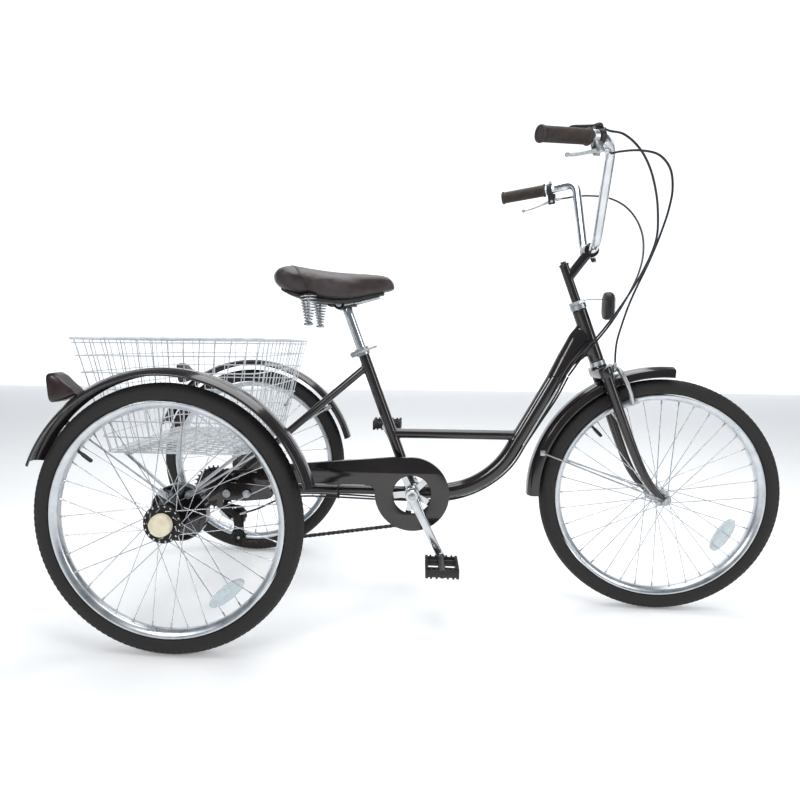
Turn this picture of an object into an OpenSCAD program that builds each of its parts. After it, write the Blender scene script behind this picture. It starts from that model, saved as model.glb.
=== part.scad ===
// Adult tricycle: one steered wheel in front, two wheels on a split rear axle, a wire
// basket between them. +X is forward, +Y is the rider's left, +Z is up, and the origin
// lies on the ground under the middle of the whole tricycle. Sizes are in millimetres.

/* [Wheels] */
// Distance from the rear axle to the front axle
wheelbase = 1150; // [1130:5:1180]
// Distance between the middles of the two rear tyres
track = 630; // [620:2:650]
// Outer diameter of every tyre
wheel_d = 596; // [590:1:600]
// Spokes in each wheel
spoke_count = 36; // [28:4:40]

/* [Frame] */
// Angle of the steering axis above the horizontal
head_angle = 69.5; // [69:0.5:70]
// Angle of the seat tube above the horizontal
seat_angle = 69.8; // [69:0.2:71]
// Angle of the straight part of the down tube
down_angle = 61; // [60:0.5:62]
// Outer radius of the down tube
down_tube_r = 20; // [17:0.5:21]
// Distance from the rear axle forward to the crank axle
crank_reach = 522; // [515:1:530]

/* [Steering] */
// Distance of the front axle in front of the steering axis
fork_rake = 33; // [30:1:38]
// Radius of the handlebar tube
bar_r = 11.1; // [10.9:0.1:11.1]

/* [Seat] */
// Height of the saddle's upper face at the rear
saddle_top = 870; // [862:1:876]
// Length of the saddle
saddle_l = 306; // [290:1:312]
// Width of the saddle at the rear
saddle_w = 230; // [200:2:240]

/* [Basket] */
// Height of the basket floor above the ground
basket_floor = 420; // [419:1:424]
// Height of the basket wall
basket_h = 270; // [250:2:275]
// Width of the basket at the top
basket_w = 566; // [540:2:570]

/* [Drive] */
// Length of each crank arm
crank_l = 170; // [160:2:172]
// Teeth on the chainring
ring_teeth = 40; // [38:2:42]
// Teeth on the sprocket that carries the chain
drive_teeth = 20; // [18:1:22]

/* [Hidden] */
$fn = 64;

wheel_r = wheel_d / 2;
half_track = track / 2;
tyre_r = 22;
tyre_wall = 4.5;
rim_r = wheel_r - 39;
guard_r = wheel_r + 33;
guard_tail = 307;
rear_x = -(wheelbase + wheel_r - guard_tail) / 2;
front_x = rear_x + wheelbase;
fit = 0.05;
pitch = 12.7;

frame_black = [0.16, 0.14, 0.14];
soft_black = [0.2, 0.18, 0.18];
silver = [0.78, 0.79, 0.8];

// ---- points ----

function unit(v) = v / norm(v);
// A point given from the ground under the rear axle
function at(x, y, z) = [rear_x + x, y, z];
// A point given along and across the steering axis
steer_foot = [front_x - fork_rake * sin(head_angle), 0, wheel_r - fork_rake * cos(head_angle)];
steer_x = [sin(head_angle), 0, cos(head_angle)];
steer_z = [-cos(head_angle), 0, sin(head_angle)];
function on_steer(x, y, z) = steer_foot + x * steer_x + [0, y, 0] + z * steer_z;

axle = at(0, 0, wheel_r);
crank_axis = at(crank_reach, 0, wheel_r);
seat_dir = [-cos(seat_angle), 0, sin(seat_angle)];
function on_seat(d) = crank_axis + d * seat_dir;
seat_top = 388;
drive_y = -40;
crank_angle = -64;

// ---- shared shapes ----

module place(o, x, y, z) {
    multmatrix([[x[0], y[0], z[0], o[0]], [x[1], y[1], z[1], o[1]],
                [x[2], y[2], z[2], o[2]], [0, 0, 0, 1]])
        children();
}

module steer_place() place([steer_foot[0], 0, steer_foot[2]], steer_x, [0, 1, 0], steer_z) children();

// Turns local +Z to run from a to b
module along(a, b) {
    d = b - a;
    translate(a)
        rotate([0, acos(d[2] / norm(d)), atan2(d[1], d[0])])
            children();
}

module rod(a, b, r) along(a, b) cylinder(h = norm(b - a), r = r);

module ring2d(r, wall) {
    difference() {
        circle(r);
        if (wall > 0) circle(r - wall);
    }
}

module pipe(a, b, r, wall) along(a, b) linear_extrude(norm(b - a)) ring2d(r, wall);

// Length of straight tube that a rounded corner takes up
function corner_cut(p, i, r) =
    let (u = unit(p[i] - p[i - 1]), v = unit(p[i + 1] - p[i])) r * tan(acos(u * v) / 2);

// Points along a rounded corner at p[i], from its first to its last
function corner_points(p, i, r) =
    let (u = unit(p[i] - p[i - 1]), v = unit(p[i + 1] - p[i]), turn = acos(u * v),
         inward = unit(v - (u * v) * u), start = p[i] - corner_cut(p, i, r) * u, steps = ceil(turn / 11))
        [for (k = [0:steps]) let (a = turn * k / steps) start + r * (sin(a) * u + (1 - cos(a)) * inward)];

// The line through the points p, with corner radii bends[i] at p[i + 1]
function rounded(p, bends) =
    concat([p[0]], [for (i = [1:len(p) - 2]) each corner_points(p, i, bends[i - 1])], [p[len(p) - 1]]);

// Carries the direction e along a list of headings without twisting it
function carried(ways, e, i = 0) =
    i == len(ways) ? [] : let (f = unit(e - (e * ways[i]) * ways[i])) concat([f], carried(ways, f, i + 1));

// Rings of points round the line, one at each of its points
function rings(line, r, sides, first) =
    let (n = len(line),
         ways = [for (i = [0:n - 1]) unit(unit(line[min(i + 1, n - 1)] - line[max(i, 1) - 1])
             + unit(line[max(i, 1)] - line[max(i - 1, 0)]))],
         e = carried(ways, first))
        [for (i = [0:n - 1]) let (f = cross(ways[i], e[i]))
            for (k = [0:sides - 1]) line[i] + r * (cos(360 * k / sides) * e[i] + sin(360 * k / sides) * f)];

// Faces between neighbouring rings; from is the number of the first point
function walls(count, sides, from = 0) =
    [for (i = [0:count - 2], k = [0:sides - 1]) let (m = (k + 1) % sides, a = from + i * sides)
        [a + k, a + sides + k, a + sides + m, a + m]];
function flipped(faces) = [for (f = faces) [for (k = [len(f) - 1:-1:0]) f[k]]];

// A round tube swept along a line; first is a direction that no part of the line follows
module swept_pipe(line, r, wall, sides, first) {
    n = len(line);
    inside = n * sides;
    ends = [for (i = [0, n - 1], k = [0:sides - 1])
        let (m = (k + 1) % sides, a = i * sides, face = [a + k, a + m, inside + a + m, inside + a + k])
            i == 0 ? face : [for (q = [3:-1:0]) face[q]]];
    polyhedron(points = concat(rings(line, r, sides, first), rings(line, r - wall, sides, first)),
               faces = concat(walls(n, sides), flipped(walls(n, sides, inside)), ends));
}

// A solid cable swept through its route, one ring at each point
module cable(route, r, sides = 8) {
    n = len(route);
    polyhedron(points = rings(route, r, sides, [0.1, 1, 0.1]),
               faces = concat(walls(n, sides), [[for (k = [0:sides - 1]) k]],
                              [[for (k = [sides - 1:-1:0]) (n - 1) * sides + k]]));
}

// A disc on the wheel axis, from y0 to y1
module disc(c, y0, y1, r) translate([c[0], y1, c[2]]) rotate([90, 0, 0]) cylinder(h = y1 - y0, r = r);

// A plate outline drawn in X and Z, standing from y0 to y1
module plate(c, y0, y1) translate([c[0], y1, c[2]]) rotate([90, 0, 0]) linear_extrude(y1 - y0) children();

module slot2d(a, b, r) {
    d = b - a;
    translate(a) circle(r);
    translate(b) circle(r);
    translate(a) rotate(atan2(d[1], d[0])) translate([0, -r]) square([norm(d), 2 * r]);
}

// ---- wheels ----

module tyre(c) {
    translate(c) rotate([90, 0, 0]) rotate_extrude($fn = 96) difference() {
        translate([wheel_r - tyre_r, 0]) circle(tyre_r);
        translate([wheel_r - tyre_r, 0]) circle(tyre_r - tyre_wall);
        translate([rim_r + 0.3 - 40, -30]) square([40, 60]);
    }
}

module rim(c) {
    half = [[0, 16], [-4, 16], [-13, 9], [-16, 5]];
    inner = [[-7, -12.5], [-7, 12.5], [0, 13.5]];
    outline = concat(half, [for (i = [3:-1:0]) [half[i][0], -half[i][1]]], [[0, -13.5]], inner);
    translate(c) rotate([90, 0, 0]) rotate_extrude($fn = 96) translate([rim_r, 0]) polygon(outline);
}

// Spokes leave the two hub flanges nearly tangent to them and cross on the way out
module spoke_set(c, flange_y, hole_r) {
    pairs = spoke_count / 4;
    for (side = [-1, 1]) for (lead = [-1, 1]) for (k = [0:pairs - 1]) {
        out = 360 * (k + (side + 1) / 4 + (lead + 1) / 8) / pairs;
        root = out + lead * 62;
        y = side * (flange_y + lead * 2.7);
        tip_r = rim_r - 16.4;
        rod(c + [hole_r * cos(root), y, hole_r * sin(root)],
            c + [tip_r * cos(out), side * 3, tip_r * sin(out)], 1);
    }
}

// A curved strip with its two edges turned down towards the hub by the skirt
module mudguard(c, half_w, from, to, skirt) {
    edge_r = guard_r - 42 + sqrt(42 * 42 - half_w * half_w);
    translate(c) rotate([90, 0, 0]) rotate(from)
        rotate_extrude(angle = to - from, $fn = 96) {
            difference() {
                translate([guard_r - 42, 0]) circle(42);
                translate([guard_r - 42, 0]) circle(40.4);
                translate([guard_r - 90, -50]) square([90 - 16, 100]);
                translate([guard_r - 60, half_w]) square([70, 40]);
                translate([guard_r - 60, -half_w - 40]) square([70, 40]);
            }
            for (y = [-half_w, half_w - 1.4])
                translate([edge_r - skirt, y]) square([skirt, 1.4]);
        }
}

// A hub shell with two flanges, turned on the wheel axis and bored through
module hub(c, shell_r, flange_r, flange_y, half_l, bore_r) {
    difference() {
        union() {
            disc(c, c[1] - half_l, c[1] + half_l, shell_r);
            for (side = [-1, 1]) {
                y = c[1] + side * flange_y;
                disc(c, y - 1.5, y + 1.5, flange_r);
            }
        }
        if (bore_r > 0) disc(c, c[1] - half_l - 1, c[1] + half_l + 1, bore_r);
    }
}

// ---- frame ----

steer_bore = 12.7 + fit;
head_low = 378;
head_high = 517;

module head_tube() {
    color(frame_black) steer_place() translate([0, 0, head_low]) difference() {
        cylinder(h = head_high - head_low, r = 18);
        translate([0, 0, -1]) cylinder(h = head_high - head_low + 2, r = 15.5);
    }
}

module headset() {
    color(silver) steer_place() for (low = [366.5, head_high]) {
        translate([0, 0, low]) difference() {
            cylinder(h = head_low - 366.5, r = low > head_low ? 20 : 19);
            translate([0, 0, -1]) cylinder(h = 20, r = steer_bore);
        }
    }
}

// The down tube runs straight, then bends level into the crank bracket
down_end = at(587, 0, 294);
down_corner = down_end + [129.7, 0, 0];
down_bend = 220;
down_start = down_corner + 462 * [cos(down_angle), 0, sin(down_angle)];

module down_tube() {
    color(frame_black) difference() {
        union() {
            swept_pipe(rounded([at(crank_reach + 19, 0, 294), down_corner, down_start], [down_bend]),
                       down_tube_r, 1.6, 32, [0, 1, 0]);
            head_web();
        }
        steer_place() cylinder(h = 600, r = 18);
    }
}

// The webs that fair the down tube into the head tube
module head_web() {
    low = on_steer(-17, 0, 384);
    high = on_steer(-17, 0, 484);
    for (y = [-13, 10])
        plate([0, 0, 0], y, y + 3)
            polygon([for (p = [low, at(893, 0, 612), at(868, 0, 560), at(852, 0, 575), at(920, 0, 712), high])
                [p[0], p[2]]]);
}

module cross_tube() {
    color(frame_black) difference() {
        pipe(at(crank_reach - 56, 0, 446), at(800, 0, 446), 12.5, 1.5);
        rod(on_seat(100), on_seat(220), 14.5);
        rod(at(780.7, 0, 409.5), at(850, 0, 534.5), down_tube_r + 0.2);
    }
}

module seat_tube() {
    color(frame_black) difference() {
        rod(on_seat(16), on_seat(seat_top), 14.3);
        rod(on_seat(15), on_seat(seat_top + 1), 12.7 + fit);
        disc(crank_axis, -40, 40, 20.2);
    }
}

module seat_clamp() {
    color(silver) difference() {
        union() {
            rod(on_seat(seat_top - 12), on_seat(seat_top + 8), 18);
            translate(on_seat(seat_top - 2)) rotate([0, -90 + seat_angle, 0])
                translate([-31, -9, -7]) cube([20, 18, 14]);
        }
        rod(on_seat(seat_top - 13), on_seat(seat_top), 14.4);
        rod(on_seat(seat_top - 1), on_seat(seat_top + 9), 12.7 + fit);
        rod(clamp_pin - [0, 40, 0], clamp_pin + [0, 40, 0], 3 + fit);
    }
}

clamp_pin = on_seat(seat_top - 2) - 24 * [sin(seat_angle), 0, cos(seat_angle)];

module clamp_lever() {
    hold = clamp_pin - [0, 22, 0];
    tip = hold + 62 * [sin(seat_angle), 0, cos(seat_angle)];
    color(silver) {
        rod(clamp_pin - [0, 25, 0], clamp_pin + [0, 14, 0], 3);
        rod(clamp_pin - [0, 25, 0], clamp_pin - [0, 9.3, 0], 7);
        rod(hold, tip, 2.8);
        translate(tip) sphere(3.6);
    }
}

module bb_shell() {
    color(frame_black) difference() {
        disc(crank_axis, -34, 34, 20);
        disc(crank_axis, -24, 24, 17);
        disc(crank_axis, -35, 35, 8 + fit);
    }
}

module rear_stays() {
    color(frame_black) difference() {
        union() {
            pipe(at(162, 0, 292), at(crank_reach - 19, 0, 292), 12, 1.5);
            pipe(at(10, 0, 292.6), at(391, 0, 614), 10, 1.5);
        }
        disc(crank_axis, -40, 40, 20.1);
        disc(axle, -40, 40, 17.1);
        rod(on_seat(200), on_seat(400), 14.4);
        disc(at(150, 0, 292), -40, 40, 13.1);
    }
}

module dropout_outline() {
    circle(28);
    polygon([[0, -24], [90, -26], [150, -20], [164, -6], [150, 14], [90, 19], [0, 24]]);
}

// Two plates, the yoke tube that joins them, the tab for the derailleur and four bolt heads
module dropouts() {
    color(frame_black) {
        for (y = [-66, 61]) plate(axle, y, y + 5) difference() {
            union() {
                dropout_outline();
                if (y < 0) translate([16, -46]) square([16, 30]);
            }
            circle(17.05);
        }
        disc(at(150, 0, 292), -62, 62, 13);
    }
    color(silver) for (side = [-1, 1], x = [43, 96])
        disc(at(x, 0, 292), side > 0 ? 65 : -72, side > 0 ? 72 : -65, 10);
}

module axle_tubes() {
    color(frame_black) for (span = [[-240, -60], [-14, 240]]) difference() {
        disc(axle, span[0], span[1], 17);
        disc(axle, span[0] + 12, span[1] - 12, 13);
        disc(axle, span[0] - 1, span[1] + 1, 8 + fit);
    }
}

module bearing_plates() {
    color(frame_black) for (side = [-1, 1]) mirror([0, side > 0 ? 1 : 0, 0]) {
        difference() {
            union() {
                disc(axle, -262, -240, side < 0 ? 65 : 48);
                plate(axle, -246, -240) slot2d([-26, 38], [26, 38], 18);
            }
            disc(axle, -263, -246, side < 0 ? 62 : 45);
            disc(axle, -263, -239, 8 + fit);
        }
    }
}

module mudguard_right() {
    color(frame_black) mudguard([axle[0], -half_track, axle[2]], 30, 14.8, 158, 3);
}

module mudguard_left() {
    color(frame_black) mudguard([axle[0], half_track, axle[2]], 30, 14.8, 158, 3);
}

// Rods from the bearing plates to the mudguards and to the basket floor, and its two rails
module rear_struts() {
    color(silver) for (side = [-1, 1]) mirror([0, side > 0 ? 1 : 0, 0]) {
        rod(at(-26, -268, 340), at(-242, -281.5, 502), 2.5);
        rod(at(26, -268, 340), at(256, -281.5, 482), 2.5);
        rod(at(-20, -251, 341), at(-150, -196, 415), 4);
        rod(at(20, -251, 341), at(112, -196, 415), 4);
        for (x = [-26, 26]) rod(at(x, -270.5, 340), at(x, -262, 340), 6);
        for (x = [-20, 20]) rod(at(x, -255, 341), at(x, -246, 341), 6);
    }
    color(silver) for (x = [-156, 104]) translate(at(x, -200, 415)) cube([14, 400, 4.5]);
}

basket_front = 138;
basket_rear = -208;
basket_splay_x = 56;
basket_bottom_w = 410;

// The tapered block that bounds the basket, moved in by d on every side
module basket_block(d, low, high) {
    flare = (basket_w - basket_bottom_w) / 2;
    function side_y(z) = basket_bottom_w / 2 + flare * z / basket_h - d;
    function front(z) = basket_front + basket_splay_x * z / basket_h - d;
    function rear(z) = basket_rear - 36 * z / basket_h + d;
    corners = [for (z = [low, high]) each
        [at(rear(z), -side_y(z), z), at(front(z), -side_y(z), z),
         at(front(z), side_y(z), z), at(rear(z), side_y(z), z)]];
    polyhedron(points = corners, faces = [[0, 1, 2, 3], [7, 6, 5, 4], [0, 4, 5, 1], [1, 5, 6, 2],
                                          [2, 6, 7, 3], [3, 7, 4, 0]]);
}

module basket() {
    color([0.93, 0.93, 0.93]) translate([0, 0, basket_floor]) difference() {
        basket_block(0, 0, basket_h);
        basket_block(2.6, 2.6, basket_h + 5);
    }
}

module tail_reflectors() {
    lift = 122;
    for (side = [-1, 1]) color([0.25, 0.08, 0.08])
        translate([axle[0], side * half_track, axle[2]]) hull() {
            translate([-246, -24, 252]) cube([6, 48, 62]);
            rotate([0, -lift - 4, 0]) translate([guard_r + 1, -12, -38]) cube([20, 24, 6]);
            rotate([0, -lift - 9, 0]) translate([guard_r + 2, -22, 0]) cube([20, 44, 6]);
        }
}

guard_y = -60;

module guard_outline(inset) {
    circle(95 - inset);
    polygon([[-402 + inset, 22 + inset], [-190, 22 + inset], [-178, 13 + inset], [-60, 13 + inset],
             [0, 0], [0, 95 - inset], [-57, 94 - inset], [-402 + inset, 64 - inset]]);
}

module chain_guard() {
    color(frame_black) {
        plate(crank_axis, guard_y, guard_y + 2) difference() {
            guard_outline(0);
            circle(50);
        }
        plate(crank_axis, guard_y + 2, guard_y + 14) difference() {
            guard_outline(0);
            guard_outline(2);
        }
    }
}

// ---- drive ----

function pitch_r(teeth) = pitch / (2 * sin(180 / teeth));

// Toothed outline: each tooth rises from the root to a narrow tip
module sprocket2d(teeth, tip) {
    p = pitch_r(teeth);
    step = 360 / teeth;
    polygon([for (i = [0:teeth - 1]) each
        [for (s = [[0, -4], [0.3, -3.2], [0.42, tip], [0.58, tip], [0.7, -3.2]])
            let (a = (i + s[0]) * step) (p + s[1]) * [cos(a), sin(a)]]]);
}

tip_rise = 2.2;
jockey_r = 20.5;
jockey_up = [62, -70];
jockey_down = [66, -130];
// Circles that the chain runs round, seen from the right: centre, pitch radius and side
chain_path = [[[crank_reach, 0], pitch_r(ring_teeth), 1], [jockey_down, jockey_r, 1],
              [jockey_up, jockey_r, -1], [[0, 0], pitch_r(drive_teeth), 1]];

// Heading of the straight run from circle a to circle b
function heading(a, b) =
    let (d = b[0] - a[0]) atan2(d[1], d[0]) + asin((b[2] * b[1] - a[2] * a[1]) / norm(d));
function moved(c, o) = [c[0], c[1] + c[2] * o, c[2]];
function sweep_angle(from, to, side) =
    let (raw = side > 0 ? from - to : to - from, turn = raw - 360 * floor(raw / 360)) turn;
// Points of the chain's path, moved outward by o
function chain_line(o) = let (c = [for (k = chain_path) moved(k, o)], n = len(c))
    [for (i = [0:n - 1])
        let (enter = heading(c[(i + n - 1) % n], c[i]), leave = heading(c[i], c[(i + 1) % n]),
             side = c[i][2], turn = sweep_angle(enter, leave, side), steps = max(2, ceil(turn / 10)))
            for (s = [0:steps])
                let (a = enter + side * 90 - side * turn * s / steps) c[i][0] + c[i][1] * [cos(a), sin(a)]];

module chain() {
    color(soft_black) plate(axle, drive_y - 3.5, drive_y + 3.5) difference() {
        polygon(chain_line(4.6));
        polygon(chain_line(2.9));
    }
}

module derailleur() {
    color(soft_black) {
        for (y = [-46.8, -34.8]) difference() {
            plate(axle, y, y + 1.6) slot2d(jockey_up, jockey_down, 11);
            for (j = [jockey_up, jockey_down]) disc(axle + [j[0], 0, j[1]], y - 1, y + 3, 2.9);
        }
        for (j = [jockey_up, jockey_down]) disc(axle + [j[0], 0, j[1]], -49, -32, 3);
        rod(at(62, -55, 228), at(62, -46.9, 228), 12);
        rod(at(62, -55.5, 228), at(24, -55.5, 258), 8);
        rod(at(24, -61, 258), at(24, -48, 258), 9);
    }
}

module jockey(j) {
    c = axle + [j[0], 0, j[1]];
    color(soft_black) difference() {
        union() {
            disc(c, drive_y - 1, drive_y + 1, 15.4);
            disc(c, drive_y - 4, drive_y + 4, 6);
        }
        disc(c, drive_y - 5, drive_y + 5, 3 + fit);
    }
}

module jockey_upper() jockey(jockey_up);
module jockey_lower() jockey(jockey_down);

module freewheel() {
    teeth = [28, 24, drive_teeth, 18, 16, 14];
    color([0.3, 0.27, 0.25]) difference() {
        union() {
            for (i = [0:5]) {
                y = drive_y + (2 - i) * 5.3;
                plate(axle, y - 1, y + 1) sprocket2d(teeth[i], tip_rise);
            }
            disc(axle, drive_y - 17, drive_y + 18, 20);
        }
        disc(axle, drive_y - 30, drive_y + 30, 8);
    }
}

module bb_axle() {
    color(silver) {
        disc(crank_axis, -63.5, 63.5, 8);
        disc(crank_axis, -79, 79, 6.5);
    }
}

module chainring() {
    p = pitch_r(ring_teeth);
    color(silver) difference() {
        union() {
            plate(crank_axis, drive_y - 1.5, drive_y + 1.5) difference() {
                sprocket2d(ring_teeth, tip_rise);
                circle(p - 17);
            }
            plate(crank_axis, drive_y - 9, drive_y - 4) for (k = [0:4])
                rotate(72 * k + crank_angle + 36) translate([10, -7.5]) square([p - 18, 15]);
            for (k = [0:4]) rotate_on_crank(72 * k + crank_angle + 36)
                disc(crank_axis + [p - 12, 0, 0], drive_y - 9, drive_y - 1, 6);
            disc(crank_axis, -62, drive_y + 3, 19);
        }
        disc(crank_axis, -63, -30, 8);
    }
}

module rotate_on_crank(a) translate(crank_axis) rotate([0, -a, 0]) translate(-crank_axis) children();

// Arm, spindle and pedal for the right side; side is -1 right, 1 left
function pedal_at(side) = crank_axis + [0, side * 142, 0]
    - side * crank_l * [cos(crank_angle), 0, sin(crank_angle)];

module crank(side) {
    tip = pedal_at(side) - crank_axis - [0, side * 142, 0];
    inner = side * 64;
    outer = side * 79;
    y0 = min(inner, outer);
    color(silver) difference() {
        union() {
            disc(crank_axis, y0, y0 + 15, 16);
            rod(crank_axis + [0, side * 72, 0] + 0.05 * tip, crank_axis + [0, side * 75, 0] + 0.97 * tip, 6.5);
            disc(crank_axis + tip, min(side * 69, side * 83), max(side * 69, side * 83), 11);
            disc(crank_axis + tip, min(side * 80, side * 188), max(side * 80, side * 188), 5);
        }
        disc(crank_axis, y0 - 1, y0 + 16, 6.5);
    }
}

module crank_right() crank(-1);
module crank_left() crank(1);

module pedal(side) {
    c = pedal_at(side);
    color(soft_black) difference() {
        translate(c - [42, 46, 13]) cube([84, 92, 26]);
        for (sx = [-1, 1], sy = [-1, 1])
            translate(c + [sx * 24 - 11, sy * 22 - 15, -20]) cube([22, 30, 40]);
        for (sx = [-1, 1])
            translate(c + [sx * 43 - 10, -36, -5]) cube([20, 72, 10]);
        disc(c, c[1] - 60, c[1] + 60, 5 + fit);
    }
}

module pedal_right() pedal(-1);
module pedal_left() pedal(1);

// ---- rear wheels ----

right_hub = [axle[0], -half_track, axle[2]];
left_hub = [axle[0], half_track, axle[2]];

// The shaft, the hub on its outer end and the cap that covers the nut
module half_axle(side, inner) {
    c = side < 0 ? right_hub : left_hub;
    color(soft_black) {
        disc(c, min(inner, side * 340), max(inner, side * 340), 8);
        hub(c, 15, 33, 25, 28, 0);
    }
    color([0.93, 0.9, 0.78]) {
        y0 = side * (half_track + 28);
        disc(c, min(y0, side * 352), max(y0, side * 352), 23.5);
        disc(c, min(side * 352, side * 355), max(side * 352, side * 355), 20);
    }
}

module axle_right() half_axle(-1, -1);
module axle_left() half_axle(1, 1);
module tyre_right() color(soft_black) tyre(right_hub);
module tyre_left() color(soft_black) tyre(left_hub);
module rim_right() color(silver) rim(right_hub);
module rim_left() color(silver) rim(left_hub);
module spokes_right() color(silver) spoke_set(right_hub, 25, 29);
module spokes_left() color(silver) spoke_set(left_hub, 25, 29);

// ---- front wheel ----

front_hub = [front_x, 0, wheel_r];

module tyre_front() color(soft_black) tyre(front_hub);
module rim_front() color(silver) rim(front_hub);
module spokes_front() color(silver) spoke_set(front_hub, 28, 17);
module hub_front() color(silver) hub(front_hub, 12, 21, 28, 40, 4.8 + fit);

// ---- seat ----

module seatpost() {
    color(silver) rod(on_seat(seat_top - 150), on_seat(seat_top + 108), 12.7);
}

saddle_rear = 168;
saddle_low = saddle_top - 70;

module saddle_cover() {
    nose_x = saddle_rear + saddle_l - 26;
    color(soft_black) hull() {
        for (side = [-1, 1])
            translate(at(saddle_rear + 52, side * (saddle_w / 2 - 50), saddle_low + 8))
                cylinder(h = 48, r1 = 50, r2 = 40, $fn = 32);
        translate(at(saddle_rear + 132, 0, saddle_low + 5)) cylinder(h = 60, r = 44, $fn = 32);
        translate(at(saddle_rear + 62, 0, saddle_low + 8)) cylinder(h = 62, r = 40, $fn = 32);
        translate(at(saddle_rear + 44, 0, saddle_low + 30)) cylinder(h = 30, r = 44, $fn = 32);
        translate(at(nose_x, 0, saddle_low + 14)) cylinder(h = 30, r1 = 24, r2 = 20, $fn = 32);
        translate(at(nose_x - 30, 0, saddle_low + 14)) cylinder(h = 42, r = 20, $fn = 32);
    }
}

rail_clamp = at(330, 0, 781);

module saddle_frame() {
    color(soft_black) translate([0, 0, saddle_low + 1]) linear_extrude(2.6)
        polygon([for (p = [[196, -92], [262, -96], [340, -44], [440, -16], [440, 16], [340, 44],
                           [262, 96], [196, 92]]) [rear_x + p[0], p[1]]]);
    color(silver) {
        for (side = [-1, 1]) {
            rod(rail_clamp + [0, side * 20, 0], at(430, side * 8, saddle_low - 2), 3.5);
            rod(rail_clamp + [0, side * 20, 0], at(296, side * 60, saddle_low - 1.5), 3.5);
            rod(at(262, side * 82, 724), at(262, side * 82, saddle_low + 2), 4);
            rod(at(262, side * 82, 724), at(262, side * 82, 730.7), 14);
        }
        difference() {
            rod(rail_clamp - [0, 26, 0], rail_clamp + [0, 26, 0], 13);
            rod(on_seat(seat_top), on_seat(seat_top + 140), 12.72);
        }
    }
}

module saddle_springs() {
    color(silver) for (side = [-1, 1]) translate(at(262, side * 82, 731)) difference() {
        cylinder(h = saddle_low + 0.7 - 731, r1 = 12, r2 = 20);
        translate([0, 0, -0.1]) cylinder(h = saddle_low + 0.9 - 731, r1 = 8, r2 = 16);
    }
}

// ---- steering ----

module fork() {
    color(frame_black) {
        steer_place() difference() {
            union() {
                translate([0, 0, 336]) linear_extrude(26) slot2d([0, -40], [0, 40], 15);
                cylinder(h = 366, r = 18);
            }
            translate([0, 0, -1]) cylinder(h = 337, r = 40);
        }
        for (side = [-1, 1])
            swept_pipe(rounded([on_steer(0, side * 40, 340), on_steer(0, side * 46, 104),
                                on_steer(fork_rake, side * 53, -12)], [150]), 10, 1.5, 20, [0, 1, 0]);
        for (side = [-1, 1]) disc(front_hub, side * 53 - 3, side * 53 + 3, 12);
    }
    color(silver) {
        steer_place() translate([0, 0, 360]) cylinder(h = 178, r = 12.7);
        steer_place() translate([0, 0, head_high + 12]) cylinder(h = 9, r = 19);
        disc(front_hub, -63, 63, 4.8);
        for (side = [-1, 1]) disc(front_hub, side * 60 - 4, side * 60 + 4, 9);
    }
}

bar_clamp = on_steer(70, 0, 645);

module stem() {
    color(frame_black) difference() {
        union() {
            steer_place() translate([0, 0, 538]) cylinder(h = 98, r = 11.1);
            rod(on_steer(0, 0, 600), bar_clamp, 12);
            disc(bar_clamp, -19, 19, 18);
        }
        disc(bar_clamp, -20, 20, bar_r + fit);
    }
    color(silver) {
        steer_place() translate([0, 0, 636]) cylinder(h = 6, r = 7);
        rod(bar_clamp + [12, 0, -26], bar_clamp + [8, 0, -17], 6);
    }
}

// Half of the handlebar, from the clamp to the grip end; side is -1 right, 1 left
function bar_points(side) = [bar_clamp, bar_clamp + [0, side * 48, 0], bar_clamp + [-2, side * 142, 204],
    bar_clamp + [-35, side * 190, 207], bar_clamp + [-180, side * 250, 196]];

module handlebar() {
    color(silver) for (side = [-1, 1])
        swept_pipe(rounded(bar_points(side), [45, 45, 60]), bar_r, 1.6, 20, [1, 0, 0.2]);
}

function grip_dir(side) = unit(bar_points(side)[4] - bar_points(side)[3]);
function on_grip(side, d) = bar_points(side)[3] + d * grip_dir(side);

module grip(side) {
    a = on_grip(side, 38);
    b = on_grip(side, 158);
    color(soft_black) difference() {
        union() {
            rod(a, b + 2 * grip_dir(side), 16);
            rod(b - 3 * grip_dir(side), b + 2 * grip_dir(side), 17.5);
            rod(a, a + 4 * grip_dir(side), 18);
        }
        rod(a - 2 * grip_dir(side), on_grip(side, 159), bar_r + fit);
    }
}

module grip_right() grip(-1);
module grip_left() grip(1);

// Lever frame: x along the grip, z from the bar towards the lever
function lever_z(side) = let (g = grip_dir(side), d = [0, side * 0.35, -1]) unit(d - (d * g) * g);
module lever_place(side) {
    place(on_grip(side, 26), grip_dir(side), cross(lever_z(side), grip_dir(side)), lever_z(side))
        children();
}
lever_pivot = [-4, 0, 32];

module brake_mounts() {
    color(silver) for (side = [-1, 1]) lever_place(side) difference() {
        union() {
            translate([-7, 0, 0]) rotate([0, 90, 0]) cylinder(h = 14, r = 15.5);
            translate([-12, -9, 11]) cube([18, 18, 30]);
            translate([-24, -4, 26]) cube([14, 8, 10]);
        }
        translate([-14, 0, 0]) rotate([0, 90, 0]) cylinder(h = 28, r = bar_r + fit);
        translate([-9, -5, 22]) cube([20, 10, 30]);
        translate(lever_pivot + [0, -20, 0]) rotate([-90, 0, 0]) cylinder(h = 40, r = 2.5 + fit);
    }
    color(soft_black) lever_place(-1) difference() {
        translate([-22, 0, 0]) rotate([0, 90, 0]) cylinder(h = 13, r = 17);
        translate([-30, 0, 0]) rotate([0, 90, 0]) cylinder(h = 30, r = bar_r + fit);
    }
}

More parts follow.
